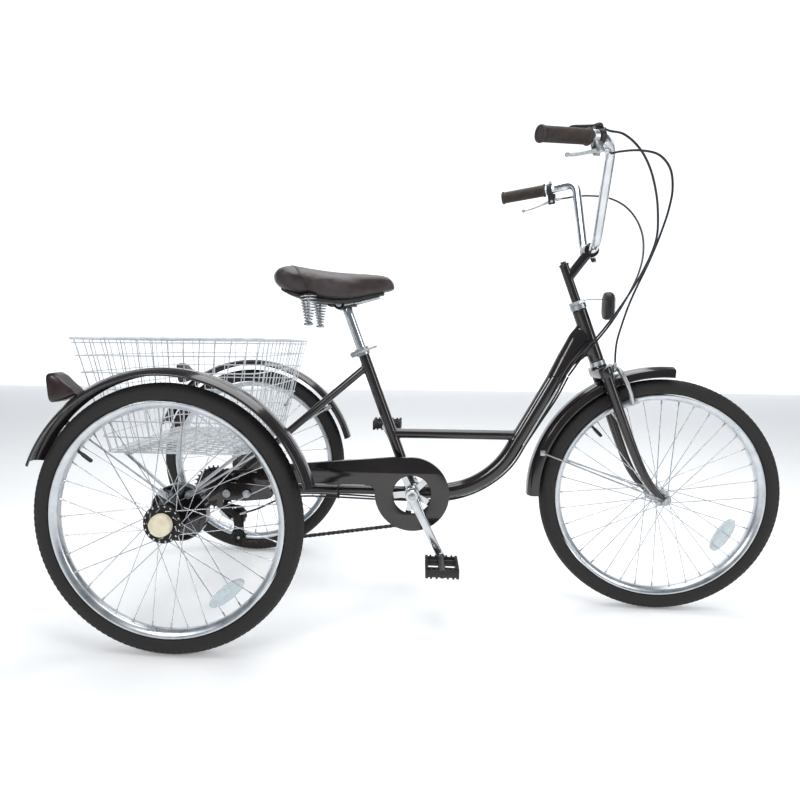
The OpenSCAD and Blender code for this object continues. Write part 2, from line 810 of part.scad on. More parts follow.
module brake_lever(side) {
    color(silver) lever_place(side) {
        translate(lever_pivot + [0, -9, 0]) rotate([-90, 0, 0]) cylinder(h = 18, r = 2.5);
        translate([lever_pivot[0], -4.5, lever_pivot[2]]) rotate([-90, 0, 0]) cylinder(h = 9, r = 4.6);
        translate([0, -4.5, 0]) rotate([-90, 0, 0]) linear_extrude(9)
            polygon([for (p = [[-4, 27], [20, 33], [48, 39], [76, 43], [76, 49], [46, 46],
                               [18, 42], [-4, 39]]) [p[0], -p[1]]]);
        translate([78, 0, 46]) sphere(5);
    }
}

module brake_lever_right() brake_lever(-1);
module brake_lever_left() brake_lever(1);

// The thumb lever turns on top of the shifter's clamp
module shifter_lever() {
    color(soft_black) lever_place(-1) {
        translate([-15.5, 0, -31]) cylinder(h = 13.6, r = 13);
        translate([-15.5, 0, -29]) rotate([0, 0, 12]) translate([6, -4, 0]) cube([52, 8, 7]);
        translate([-15.5, 0, -29]) rotate([0, 0, 12]) translate([54, -7, -1]) cube([12, 14, 10]);
    }
}

caliper_pivot = 344;

module front_brake_arm(side, x0) {
    color(silver) steer_place() {
        translate([x0, 0, 0]) rotate([90, 0, 90]) linear_extrude(5) difference() {
            polygon([for (p = [[-7, 352], [20, 356], [38, 345], [47, 318], [45, 285], [34, 252], [26, 246],
                               [26, 262], [36, 290], [37, 316], [30, 334], [16, 343], [-7, 337]])
                     [side * p[0], p[1]]]);
            translate([0, caliper_pivot]) circle(3 + fit);
        }
    }
    color(soft_black) steer_place() translate([20, side * 22 - 3.8, 246]) cube([36, 7.6, 10]);
}

module front_brake_arm_right() front_brake_arm(-1, 26);
module front_brake_arm_left() front_brake_arm(1, 31.6);

module mudguard_front() {
    color(frame_black) mudguard(front_hub, 26, 86, 181, 17);
    color(silver) for (side = [-1, 1]) {
        end = front_hub + [-guard_r * cos(20) + 18, side * 27.6, guard_r * sin(20) - 6];
        rod(front_hub + [-14, side * 59, 3], end, 2);
    }
}

module front_reflector() {
    face = at(1008, 0, 779);
    color(silver) rod(on_steer(20.2, 0, 533), face + [-8, 0, 16], 2.4);
    color(soft_black) translate(face) {
        translate([-11, -22, -18]) cube([24, 44, 36]);
        for (dz = [-18, 18]) translate([-11, 0, dz]) rotate([0, 90, 0]) cylinder(h = 24, r = 17);
    }
}

// ---- cables ----

cable_r = 2.4;
gear_cable_steered = [[936, -190, 1136], [966, -194, 1126], [1000, -190, 1098], [1028, -178, 1060],
    [1048, -165, 1012], [1060, -150, 968], [1066, -135, 926], [1062, -120, 890], [1052, -106, 856],
    [1038, -92, 820], [1016, -76, 776], [990, -58, 730], [962, -42, 688], [932, -32, 652],
    [904, -28, 606]];
rear_brake_cable_steered = [[944, 182, 1092], [966, 176, 1094], [1000, 162, 1092], [1042, 138, 1080],
    [1078, 112, 1052], [1100, 84, 1010], [1106, 52, 960], [1096, 18, 908], [1076, -14, 862],
    [1050, -42, 818], [1024, -54, 774], [1000, -46, 730], [972, -34, 688], [942, -25, 648],
    [912, -20, 602]];
front_brake_cable = [[944, -182, 1092], [966, -181, 1096], [1004, -179, 1098], [1046, -174, 1090],
    [1074, -168, 1062], [1086, -156, 1022], [1086, -142, 982], [1080, -128, 942], [1072, -114, 904],
    [1062, -98, 864], [1048, -82, 820], [1036, -66, 776], [1028, -50, 732], [1022, -38, 692],
    [1020, -32, 652], [1022, -31, 635]];
gear_cable_fixed = [[904, -28, 604], [882, -19, 552], [846, -8, 482], [818, -5, 430], [782, -5, 368],
    [732, -5, 320], [670, -5, 286], [600, -5, 269], [522, -5, 268], [428, -10, 270], [325, -14, 274],
    [230, -14, 274], [170, -24, 266], [120, -50, 248], [76, -62, 236]];
rear_brake_cable_fixed = [[912, -20, 600], [888, -10, 546], [850, 3, 478], [820, 5, 428],
    [784, 5, 366], [734, 5, 318], [672, 5, 284], [600, 5, 269], [522, 5, 268], [428, 6, 272],
    [325, 14, 274], [230, 16, 274], [170, 30, 266], [110, 70, 262], [60, 130, 268], [30, 200, 272],
    [20, 236, 272]];

function from_axle(route) = [for (p = route) at(p[0], p[1], p[2])];

module frame_cables() {
    color(soft_black) {
        cable(from_axle(gear_cable_fixed), cable_r);
        cable(from_axle(rear_brake_cable_fixed), cable_r);
    }
}

module steering_cables() {
    color(soft_black) {
        cable(from_axle(gear_cable_steered), cable_r);
        cable(from_axle(rear_brake_cable_steered), cable_r);
        cable(from_axle(front_brake_cable), cable_r);
    }
}

head_tube();
headset();
down_tube();
cross_tube();
seat_tube();
seat_clamp();
bb_shell();
rear_stays();
dropouts();
axle_tubes();
bearing_plates();
mudguard_right();
mudguard_left();
rear_struts();
basket();
tail_reflectors();
chain_guard();
chain();
derailleur();
frame_cables();
clamp_lever();
seatpost();
saddle_frame();
saddle_springs();
saddle_cover();
bb_axle();
chainring();
crank_right();
crank_left();
pedal_right();
pedal_left();
freewheel();
axle_right();
tyre_right();
rim_right();
spokes_right();
axle_left();
tyre_left();
rim_left();
spokes_left();
tyre_front();
rim_front();
spokes_front();
hub_front();
fork();
stem();
handlebar();
grip_right();
grip_left();
brake_mounts();
brake_lever_right();
brake_lever_left();
shifter_lever();
front_brake_arm_right();
front_brake_arm_left();
mudguard_front();
front_reflector();
jockey_upper();
jockey_lower();
steering_cables();
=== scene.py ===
# %% [markdown]
# An adult tricycle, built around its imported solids.
# The solids are exact but plain, so most of what the eye meets is made here: tread, spokes,
# wire basket, padded saddle, chain links, cables and every finish. Each piece rides on the
# body it belongs to, so the whole moves with the joints.

# %% Load the frame
import math

import bmesh
import bpy
import numpy as np
from mathutils import Matrix, Vector
from mathutils.bvhtree import BVHTree


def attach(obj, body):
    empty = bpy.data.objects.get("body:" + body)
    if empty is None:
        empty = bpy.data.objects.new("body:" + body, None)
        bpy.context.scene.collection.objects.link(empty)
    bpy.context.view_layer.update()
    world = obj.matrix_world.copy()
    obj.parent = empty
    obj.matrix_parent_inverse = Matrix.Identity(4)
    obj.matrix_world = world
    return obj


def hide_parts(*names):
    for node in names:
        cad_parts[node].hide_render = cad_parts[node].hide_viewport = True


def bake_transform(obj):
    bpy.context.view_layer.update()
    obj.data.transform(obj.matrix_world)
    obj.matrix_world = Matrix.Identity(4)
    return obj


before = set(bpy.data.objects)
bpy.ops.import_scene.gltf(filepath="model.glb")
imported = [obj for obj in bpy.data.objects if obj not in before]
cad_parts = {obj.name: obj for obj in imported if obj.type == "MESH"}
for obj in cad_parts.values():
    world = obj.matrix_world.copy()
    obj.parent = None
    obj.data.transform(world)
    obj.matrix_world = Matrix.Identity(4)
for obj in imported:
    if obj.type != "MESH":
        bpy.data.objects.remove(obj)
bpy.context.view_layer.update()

# %% [markdown]
# Positions come from the design: the rear axle is the nearest landmark, so points are given
# in millimetres from the ground under it, and one function turns them into metres in the
# model's frame. The steering parts use a second frame that leans back with the fork.

# %% Landmarks
REAR_X, WHEELBASE, WHEEL_R, TRACK = -570.5, 1150.0, 298.0, 315.0
HEAD_ANGLE, SEAT_ANGLE, RAKE = math.radians(69.5), math.radians(69.8), 33.0


def at(x, y, z):
    return np.array([REAR_X + x, y, z]) / 1000


def unit(v):
    return np.asarray(v, float) / np.linalg.norm(v)


steer_x = np.array([math.sin(HEAD_ANGLE), 0, math.cos(HEAD_ANGLE)])
steer_z = np.array([-math.cos(HEAD_ANGLE), 0, math.sin(HEAD_ANGLE)])
steer_foot = at(WHEELBASE, 0, WHEEL_R) - RAKE / 1000 * steer_x


def on_steer(x, y, z):
    return steer_foot + (x * steer_x + np.array([0, y, 0]) + z * steer_z) / 1000


crank_axis = at(522, 0, WHEEL_R)
seat_dir = np.array([-math.cos(SEAT_ANGLE), 0, math.sin(SEAT_ANGLE)])


def on_seat(d):
    return crank_axis + d / 1000 * seat_dir


print("steering foot", steer_foot.round(4), "crank", crank_axis.round(4))

# %% [markdown]
# A shape here is a pair: an array of points and a list of faces. A few makers cover nearly
# everything on a tricycle: a tube is an outline swept along a line, a wheel part is an
# outline turned round the axle, and a stamped part is a flat outline with a rounded edge.

# %% Shape makers
def merge(shapes):
    points, faces, count = [], [], 0
    for p, f in shapes:
        points.append(np.asarray(p, float))
        faces += [tuple(i + count for i in face) for face in f]
        count += len(p)
    return np.concatenate(points), faces


def circle(r, sides=24):
    a = np.arange(sides) * 2 * math.pi / sides
    return np.column_stack([np.cos(a), np.sin(a)]) * r


def ring_faces(rings, sides, closed):
    last = rings if closed else rings - 1
    return [(i * sides + k, ((i + 1) % rings) * sides + k,
             ((i + 1) % rings) * sides + (k + 1) % sides, i * sides + (k + 1) % sides)
            for i in range(last) for k in range(sides)]


def sweep(line, outline, first=(0, 1, 0), closed=False, scale=None):
    """Carries a closed outline (first axis, second axis) along a line of points."""
    line, outline = np.asarray(line, float), np.asarray(outline, float)
    n, sides = len(line), len(outline)
    if closed:
        ways = np.roll(line, -1, 0) - np.roll(line, 1, 0)
    else:
        steps = np.diff(line, axis=0)
        steps /= np.linalg.norm(steps, axis=1)[:, None]
        ways = np.vstack([steps[:1], steps[1:] + steps[:-1], steps[-1:]])
    ways /= np.linalg.norm(ways, axis=1)[:, None]
    e = np.asarray(first, float)
    scale = np.ones((n, 2)) if scale is None else np.broadcast_to(np.asarray(scale, float).reshape(n, -1),
                                                                  (n, 2))
    points = []
    for i in range(n):
        e = unit(e - (e @ ways[i]) * ways[i])
        f = np.cross(ways[i], e)
        points.append(line[i] + np.outer(outline[:, 0] * scale[i, 0],
                                         e) + np.outer(outline[:, 1] * scale[i, 1], f))
    faces = ring_faces(n, sides, closed)
    if not closed:
        faces += [tuple(range(sides)), tuple(range(n * sides - 1, (n - 1) * sides - 1, -1))]
    return np.concatenate(points), faces


def rod(a, b, r, sides=16):
    first = (0, 1, 0) if abs(unit(np.subtract(b, a))[1]) < 0.9 else (1, 0, 0)
    return sweep([a, b], circle(r, sides), first)


def turn(outline, centre, axis=(0, 1, 0), first=(1, 0, 0), start=0.0, stop=360.0, steps=160):
    """Turns an outline of (radius, distance along the axis), in metres, round the axis."""
    outline = np.asarray(outline, float)
    axis, u = unit(axis), unit(first)
    v = np.cross(u, axis)
    full = stop - start >= 360
    a = np.radians(np.linspace(start, stop, steps, endpoint=not full))
    points = [np.asarray(centre) + np.outer(outline[:, 0], math.cos(t) * u + math.sin(t) * v)
              + np.outer(outline[:, 1], axis) for t in a]
    faces = ring_faces(steps, len(outline), full)
    if not full:
        k = len(outline)
        faces += [tuple(range(k)), tuple(range(steps * k - 1, (steps - 1) * k - 1, -1))]
    return np.concatenate(points), faces


def placed(shape, origin, x, y, z):
    return np.asarray(origin) + shape[0] @ np.array([x, y, z], float), shape[1]


print("shape makers ready")

# %% Bends and smooth lines
def rounded(points, bends, step=7):
    """A line through points, with each inner corner rounded to its radius, in metres."""
    p = [np.asarray(q, float) for q in points]
    line = [p[0]]
    for i, r in enumerate(bends, 1):
        u, v = unit(p[i] - p[i - 1]), unit(p[i + 1] - p[i])
        bend = math.acos(max(-1, min(1, u @ v)))
        inward = unit(v - (u @ v) * u)
        start = p[i] - r * math.tan(bend / 2) * u
        count = max(2, math.ceil(math.degrees(bend) / step))
        line += [start + r * (math.sin(a) * u + (1 - math.cos(a)) * inward)
                 for a in np.linspace(0, bend, count + 1)]
    return np.array(line + [p[-1]])


def flowing(points, per_span=6):
    """A smooth line through all the points, for cables and curved forgings."""
    p = np.asarray(points, float)
    q = np.vstack([2 * p[0] - p[1], p, 2 * p[-1] - p[-2]])
    line = []
    for i in range(1, len(q) - 2):
        for t in np.linspace(0, 1, per_span, endpoint=False):
            line.append(0.5 * (2 * q[i] + (q[i + 1] - q[i - 1]) * t
                        + (2 * q[i - 1] - 5 * q[i] + 4 * q[i + 1] - q[i + 2]) * t * t
                        + (3 * q[i] - q[i - 1] - 3 * q[i + 1] + q[i + 2]) * t ** 3))
    return np.array(line + [p[-1]])


def stamped(loops, thickness, bevel=0.0004):
    """A flat part cut from sheet: the first loop is its edge and the others are holes."""
    curve = bpy.data.curves.new("stamping", "CURVE")
    curve.dimensions, curve.fill_mode = "2D", "BOTH"
    curve.extrude, curve.bevel_depth, curve.bevel_resolution = thickness / 2 - bevel, bevel, 1
    curve.offset = -bevel
    for loop in loops:
        s = curve.splines.new("POLY")
        s.points.add(len(loop) - 1)
        for point, (x, y) in zip(s.points, loop):
            point.co = (x, y, 0, 1)
        s.use_cyclic_u = True
    obj = bpy.data.objects.new("stamping", curve)
    bpy.context.scene.collection.objects.link(obj)
    mesh = obj.evaluated_get(bpy.context.evaluated_depsgraph_get()).to_mesh()
    bm = bmesh.new()
    bm.from_mesh(mesh)
    bmesh.ops.remove_doubles(bm, verts=bm.verts, dist=1e-6)
    shape = (np.array([v.co[:] for v in bm.verts]), [tuple(v.index for v in f.verts) for f in bm.faces])
    bm.free()
    bpy.data.objects.remove(obj)
    bpy.data.curves.remove(curve)
    return shape


def block(size, centre, bevel=0.001, segments=2):
    """A box with rounded edges."""
    bm = bmesh.new()
    bmesh.ops.create_cube(bm, size=1, matrix=Matrix.Diagonal((*size, 1)))
    bmesh.ops.bevel(bm, geom=bm.edges[:], offset=bevel, segments=segments, affect="EDGES", profile=0.5)
    shape = (np.array([v.co[:] for v in bm.verts]) + centre,
             [tuple(v.index for v in f.verts) for f in bm.faces])
    bm.free()
    return shape


print("bends, stampings and blocks ready")

# %% Make a piece from a shape
def piece(name, shape, finish, body, angle=35, stand_for=()):
    mesh = bpy.data.meshes.new(name)
    mesh.from_pydata(np.asarray(shape[0]).tolist(), [], shape[1])
    bm = bmesh.new()
    bm.from_mesh(mesh)
    bmesh.ops.recalc_face_normals(bm, faces=bm.faces)
    bm.to_mesh(mesh)
    bm.free()
    mesh.materials.append(finish)
    mesh.shade_smooth()
    mesh.set_sharp_from_angle(angle=math.radians(angle))
    obj = bpy.data.objects.new(name, mesh)
    bpy.context.scene.collection.objects.link(obj)
    if body:
        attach(obj, body)
    if stand_for:
        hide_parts(*stand_for)
    print(f"{name}: {len(mesh.vertices)} points")
    return obj


print("piece maker ready")

# %% [markdown]
# Colours are written as they look on a screen and turned into light values once, here.
# Every finish has slow clouds in its colour and gloss and a fine grain in its relief,
# because a real surface is never one flat value. The sizes are in millimetres.

# %% Finish maker
def srgb(text):
    c = [int(text[i:i + 2], 16) / 255 for i in (1, 3, 5)]
    return [x / 12.92 if x <= 0.04045 else ((x + 0.055) / 1.055) ** 2.4 for x in c] + [1.0]


def node(tree, kind, settings=None, links=None):
    n = tree.nodes.new(kind)
    for key, value in (settings or {}).items():
        if key in n.inputs:
            n.inputs[key].default_value = value
        else:
            setattr(n, key, value)
    for key, source in (links or {}).items():
        tree.links.new(source, n.inputs[key])
    return n


def finish(name, light, dark, cloud=60, gloss=0.4, spread=0.06, grain=1.0, relief=0.02,
           texture="ShaderNodeTexNoise", out="Fac", stretch=(1, 1, 1), **shader):
    made = bpy.data.materials.new(name)
    made.use_nodes = True
    tree = made.node_tree
    tree.nodes.clear()
    place = node(tree, "ShaderNodeTexCoord")
    stretched = node(tree, "ShaderNodeMapping", {"Scale": stretch}, {"Vector": place.outputs["Object"]})
    clouds = node(tree, "ShaderNodeTexNoise", {"Scale": 1000 / cloud, "Detail": 5.0, "Roughness": 0.6},
                  {"Vector": place.outputs["Object"]})
    tint = node(tree, "ShaderNodeValToRGB", links={"Fac": clouds.outputs["Fac"]})
    tint.color_ramp.elements[0].position, tint.color_ramp.elements[0].color = 0.35, srgb(dark)
    tint.color_ramp.elements[1].position, tint.color_ramp.elements[1].color = 0.65, srgb(light)
    rough = node(tree, "ShaderNodeMapRange",
                 {"From Min": 0.3, "From Max": 0.7, "To Min": gloss - spread, "To Max": gloss + spread},
                 {"Value": clouds.outputs["Fac"]})
    fine = node(tree, texture, {"Scale": 1000 / grain}, {"Vector": stretched.outputs["Vector"]})
    bump = node(tree, "ShaderNodeBump", {"Strength": 0.8, "Distance": relief / 1000},
                {"Height": fine.outputs[out]})
    skin = node(tree, "ShaderNodeBsdfPrincipled", shader,
                {"Base Color": tint.outputs["Color"], "Roughness": rough.outputs["Result"],
                 "Normal": bump.outputs["Normal"]})
    node(tree, "ShaderNodeOutputMaterial", links={"Surface": skin.outputs["BSDF"]})
    return made


print("finish maker ready")

# %% [markdown]
# The frame is steel tube sprayed with gloss black enamel. Sprayed enamel levels out but
# keeps a faint orange peel a couple of millimetres across, and dust dulls it in patches.
# The bright parts are steel plated with chromium or zinc, and aluminium left polished,
# brushed or cast. A metal's colour is its reflection, so it has metallic 1.

# %% Paint and metals
enamel = finish("gloss_black_enamel", "#241d1d", "#191415", cloud=90, gloss=0.17, spread=0.04,
                grain=2.5, relief=0.012, **{"Coat Weight": 0.5, "Coat Roughness": 0.06})
enamel_white = finish("white_enamel_line", "#f1f1ef", "#e2e2e0", cloud=20, gloss=0.3, grain=1.5, relief=0.01)
chrome = finish("chrome_plate", "#dfe2e4", "#cfd3d6", cloud=45, gloss=0.11, spread=0.04, grain=3,
                relief=0.004,
                Metallic=1.0)
zinc = finish("bright_zinc_steel", "#c9cccf", "#a9adb1", cloud=25, gloss=0.33, spread=0.08, grain=0.8,
              relief=0.02, Metallic=1.0)
spoke_steel = finish("drawn_spoke_steel", "#d5d7d9", "#b4b8bb", cloud=15, gloss=0.25, grain=0.6, relief=0.01,
                     Metallic=1.0)
polished_alloy = finish("polished_aluminium", "#d9dbdc", "#c3c6c8", cloud=30, gloss=0.2, spread=0.05,
                        grain=1.2,
                        relief=0.012, Metallic=1.0)
cast_alloy = finish("cast_aluminium", "#c8cacb", "#adb0b2", cloud=12, gloss=0.38, spread=0.08, grain=0.7,
                    relief=0.05, Metallic=1.0)
oiled_steel = finish("oiled_dark_steel", "#544f4b", "#2b2927", cloud=8, gloss=0.35, spread=0.1, grain=0.6,
                     relief=0.03, Metallic=0.9)
black_steel = finish("blackened_steel", "#2b2726", "#1b1817", cloud=14, gloss=0.4, spread=0.08, grain=0.7,
                     relief=0.02, Metallic=0.6)
print("metals:", [m.name for m in (enamel, chrome, zinc, polished_alloy, cast_alloy, oiled_steel)])

# %% Brushed rim alloy
# A rim is rolled and brushed as it turns, so its lines run round the wheel. The height is
# drawn from the distance to the axle, with a line about every 0.8 mm so that it shows.
def brushed_rim(name, centre):
    made = finish(name, "#d6d9dc", "#bcc1c6", cloud=40, gloss=0.3, spread=0.05, grain=1, relief=0.006,
                  Metallic=1.0)
    tree = made.node_tree
    place = node(tree, "ShaderNodeTexCoord")
    from_axle = node(tree, "ShaderNodeVectorMath", {"operation": "SUBTRACT"}, {0: place.outputs["Object"]})
    from_axle.inputs[1].default_value = centre
    flat = node(tree, "ShaderNodeVectorMath", {"operation": "MULTIPLY"}, {0: from_axle.outputs["Vector"]})
    flat.inputs[1].default_value = (1, 0, 1)
    radius = node(tree, "ShaderNodeVectorMath", {"operation": "LENGTH"}, {0: flat.outputs["Vector"]})
    lines = node(tree, "ShaderNodeTexNoise", {"noise_dimensions": "1D", "Scale": 1250.0, "Detail": 2.0},
                 {"W": radius.outputs["Value"]})
    bump = next(n for n in tree.nodes if n.type == "BUMP")
    tree.links.new(lines.outputs["Fac"], bump.inputs["Height"])
    return made


print("brushed rim finish maker ready")

# %% [markdown]
# The soft and moulded parts: tyres and grips are rubber, which scatters light and is dull;
# pedals, brackets and lamp bodies are moulded plastic with a fine spark-eroded grain; the
# saddle is leather-grained vinyl; the basket wire is dipped in white PVC.

# %% Rubber, plastic and vinyl
tyre_rubber = finish("tyre_rubber", "#24201f", "#171514", cloud=35, gloss=0.72, spread=0.08, grain=1.2,
                     relief=0.05)
grip_rubber = finish("grip_rubber", "#43362f", "#2c2422", cloud=18, gloss=0.62, spread=0.08, grain=0.9,
                     relief=0.06)
sheath = finish("cable_sheath_pvc", "#1d1c1e", "#121214", cloud=15, gloss=0.35, spread=0.06, grain=1,
                relief=0.01)
moulded_black = finish("moulded_black_nylon", "#242222", "#171616", cloud=14, gloss=0.5, spread=0.08,
                       grain=0.8,
                       relief=0.04)
ivory_cap = finish("ivory_cap_plastic", "#efe7cf", "#e0d6b8", cloud=20, gloss=0.42, grain=1.0, relief=0.015,
                   **{"Subsurface Weight": 0.1, "Subsurface Scale": 0.003})
maroon_body = finish("maroon_lamp_plastic", "#33201f", "#231516", cloud=18, gloss=0.33, spread=0.07,
                     grain=0.8,
                     relief=0.02)
red_lens = finish("red_prism_lens", "#7c1418", "#4d0c10", cloud=6, gloss=0.16, grain=3.0, relief=0.5,
                  texture="ShaderNodeTexVoronoi", out="Distance", **{"Coat Weight": 0.6})
clear_lens = finish("clear_prism_lens", "#eaf2f4", "#cfdde2", cloud=7, gloss=0.14, grain=3.2, relief=0.5,
                    texture="ShaderNodeTexVoronoi", out="Distance",
                    **{"Transmission Weight": 0.35, "IOR": 1.58, "Coat Weight": 0.4})
basket_pvc = finish("white_pvc_dip", "#dfe2e5", "#c9cdd1", cloud=20, gloss=0.34, grain=1.2, relief=0.02)
vinyl = finish("grained_saddle_vinyl", "#3f3231", "#2a2021", cloud=45, gloss=0.42, spread=0.07, grain=1.6,
               relief=0.16, texture="ShaderNodeTexVoronoi", out="Distance", **{"Sheen Weight": 0.15})
seam_vinyl = finish("seam_piping_vinyl", "#2b2321", "#1d1716", cloud=20, gloss=0.4, grain=1, relief=0.05)
print("soft finishes ready")

# %% Paint the solids whose shape is right
def paint(finish_made, *names):
    for name in names:
        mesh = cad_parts[name].data
        mesh.materials.clear()
        mesh.materials.append(finish_made)
        mesh.shade_smooth()
        mesh.set_sharp_from_angle(angle=math.radians(30))
    print(finish_made.name, "on", names)


paint(enamel, "cross_tube", "seat_tube", "bb_shell", "rear_stays", "dropouts", "axle_tubes", "bearing_plates",
      "stem")
paint(zinc, "headset", "rear_struts", "seat_clamp", "clamp_lever", "hub_front", "bb_axle")
paint(chrome, "seatpost")
paint(polished_alloy, "chainring")
paint(oiled_steel, "freewheel")
paint(black_steel, "derailleur", "axle_right", "axle_left")

# %% [markdown]
# The wheels are the same three times. A tyre is an open horseshoe of rubber turned round
# the axle, with its tread blocks raised one by one, because light catches their edges.
# The rim is a rolled section, and 36 spokes cross from the hub flanges to plated nipples.

# %% Tyre and rim
def wheel_centre(y, front=False):
    return at(WHEELBASE if front else 0, y, WHEEL_R)


TYRE_MID = 0.276


def tyre_shape(c):
    out, inner = 0.0212, 0.0172
    arc = np.radians(np.arange(-134, 135, 6))
    swell = 0.0004 * (np.abs(np.degrees(arc)) % 24 < 7)
    outer = [(TYRE_MID + (out + s) * math.cos(a), (out + s) * math.sin(a)) for a, s in zip(arc, swell)]
    inside = [(TYRE_MID + inner * math.cos(a), inner * math.sin(a)) for a in arc[::-1]]
    return turn(outer + inside, c, steps=180)


def tread_shape(c, count=132):
    """Blocks on the tyre's crown and shoulders, each slightly narrower at its top."""
    low, high = 0.0208, 0.02195
    points, faces = [], []
    rows = [(-41, 9, 0.30, 0.0), (-17, 9, 0.34, 0.5), (17, 9, 0.34, 0.0), (41, 9, 0.30, 0.5),
            (-60, 5, 0.26, 0.0),
            (60, 5, 0.26, 0.5), (0, 3.5, 0.45, 0.25)]
    for i in range(count):
        for across, half, length, phase in rows:
            base = len(points)
            for r, shrink in ((low, 1.0), (high, 0.8)):
                for sa, sb in ((-1, -1), (1, -1), (1, 1), (-1, 1)):
                    t = 2 * math.pi * (i + phase + sa * length * shrink) / count
                    p = math.radians(across + sb * half * shrink)
                    w = TYRE_MID + r * math.cos(p)
                    points.append(c + np.array([w * math.cos(t), r * math.sin(p), w * math.sin(t)]))
            faces += [tuple(base + k for k in q) for q in
                      ((4, 5, 6, 7), (0, 1, 5, 4), (1, 2, 6, 5), (2, 3, 7, 6), (3, 0, 4, 7), (3, 2, 1, 0))]
    return np.array(points), faces


RIM_OUTLINE = np.array([(259, 15.6), (257.5, 16), (255, 15.7), (250.5, 13), (246.5, 9.6), (244, 6), (243, 0),
                        (244, -6), (246.5, -9.6), (250.5, -13), (255, -15.7), (257.5, -16), (259, -15.6),
                        (259, -14),
                        (253, -12), (251, -7), (250.5, 0), (251, 7), (253, 12), (259, 14)]) / 1000


def spoke_shape(c, flange_y, hole_r, count=36):
    shapes, nipples, heads = [], [], []
    pairs = count // 4
    for side in (-1, 1):
        for lead in (-1, 1):
            for k in range(pairs):
                out = math.radians(360 * (k + (side + 1) / 4 + (lead + 1) / 8) / pairs)
                root = out + lead * math.radians(62)
                y = side * (flange_y + lead * 2.2) / 1000
                a = c + np.array([hole_r / 1000 * math.cos(root), y, hole_r / 1000 * math.sin(root)])
                b = c + np.array([0.2445 * math.cos(out), side * 0.003, 0.2445 * math.sin(out)])
                way = unit(b - a)
                shapes.append(rod(a, b, 0.001, 8))
                nipples.append(sweep([b - way * 0.011, b - way * 0.009, b], circle(0.0019, 8),
                                     scale=[0.8, 1, 1.15]))
                heads.append(sweep([a - [0, lead * side * 0.0032, 0], a, a + way * 0.001],
                                   circle(0.0016, 8), (1, 0, 0), scale=[0.6, 1.2, 0.8]))
    return merge(shapes), merge(nipples + heads)


wheels = {"right": (wheel_centre(-TRACK), "drive_wheel", 25, 29),
          "left": (wheel_centre(TRACK), "left_wheel", 25, 29),
          "front": (wheel_centre(0, True), "front_wheel", 28, 17)}
for name, (c, body, flange_y, hole_r) in wheels.items():
    piece(f"tyre_{name}_casing", tyre_shape(c), tyre_rubber, body, 50, [f"tyre_{name}"])
    piece(f"tyre_{name}_tread", tread_shape(c), tyre_rubber, body, 20)
    piece(f"rim_{name}_alloy", turn(RIM_OUTLINE, c, steps=180), brushed_rim(f"brushed_rim_{name}", tuple(c)),
          body,
          40, [f"rim_{name}"])
    spokes, nipples = spoke_shape(c, flange_y, hole_r)
    piece(f"spokes_{name}_wire", spokes, spoke_steel, body, 60, [f"spokes_{name}"])
    piece(f"spokes_{name}_nipples", nipples, spoke_steel, body, 60)

# %% [markdown]
# A rear hub ends in a black pressed flange 84 mm across, with the spoke heads showing
# as bright dots near its rim. It could be one disc with a bump texture, but the dots catch
# the light as raised heads, so a ring is turned and each head is its own small dome.

# %% Hub flanges of the rear wheels
for name, side in (("right", -1), ("left", 1)):
    c, body = wheels[name][:2]
    edge = turn(np.array([(30, 23.8), (41.2, 23.8), (42, 24.4), (42, 26.4), (41.2, 27),
                          (30, 27)]) / 1000 * [1, side],
                c, steps=96)
    dots = [turn(np.array([(0, 26.6), (2.1, 26.6), (2.1, 27.2), (1.4, 27.7), (0, 27.8)]) / 1000 * [1, side],
                 c + 0.0385 * np.array([math.cos(a), 0, math.sin(a)]), steps=12)
            for a in np.linspace(0, 2 * math.pi, 18, endpoint=False)]
    piece(f"hub_flange_{name}_edge", edge, black_steel, body, 35)
    piece(f"hub_flange_{name}_rivets", merge(dots), spoke_steel, body, 35)

# %% [markdown]
# Small things make a wheel read as real: the tyre valve with its black cap, the clear
# prism reflector clipped between the spokes, and the ivory cap over each rear axle nut.

# %% Valves, reflectors and hub caps
def polar(c, angle, r, y=0.0):
    a = math.radians(angle)
    return c + np.array([r * math.cos(a), y, r * math.sin(a)])


def valve_shape(c, angle):
    a, b = polar(c, angle, 0.246), polar(c, angle, 0.207)
    return sweep([a, a + 0.3 * (b - a), a + 0.35 * (b - a), b - 0.06 * (b - a), b], circle(0.0034, 12),
                 scale=[1, 1, 1.3, 1.3, 0.8])


def reflector_shape(c, angle, r):
    """A rounded bar, deeper in the middle, that lies across the spokes."""
    long, mid, end = 0.047, 0.0165, 0.0095
    outline = []
    for t in np.linspace(0, 2 * math.pi, 40, endpoint=False):
        u = math.copysign(abs(math.cos(t)) ** 0.5, math.cos(t))
        v = math.copysign(abs(math.sin(t)) ** 0.7, math.sin(t))
        outline.append((u * long, v * (end + (mid - end) * (1 - u * u))))
    a = math.radians(angle)
    across, outward = np.array([-math.sin(a), 0, math.cos(a)]), np.array([math.cos(a), 0, math.sin(a)])
    return placed(stamped([outline], 0.013, 0.0025), polar(c, angle, r), across, outward, (0, 1, 0))


for name, valve_angle, mirror_angle, mirror_r in (("right", 143, -51, 0.203), ("left", 60, -112, 0.203),
                                                  ("front", 134, -31, 0.196)):
    c, body = wheels[name][:2]
    piece(f"valve_{name}", valve_shape(c, valve_angle), moulded_black, body)
    piece(f"wheel_reflector_{name}", reflector_shape(c, mirror_angle, mirror_r), clear_lens, body,
          30)

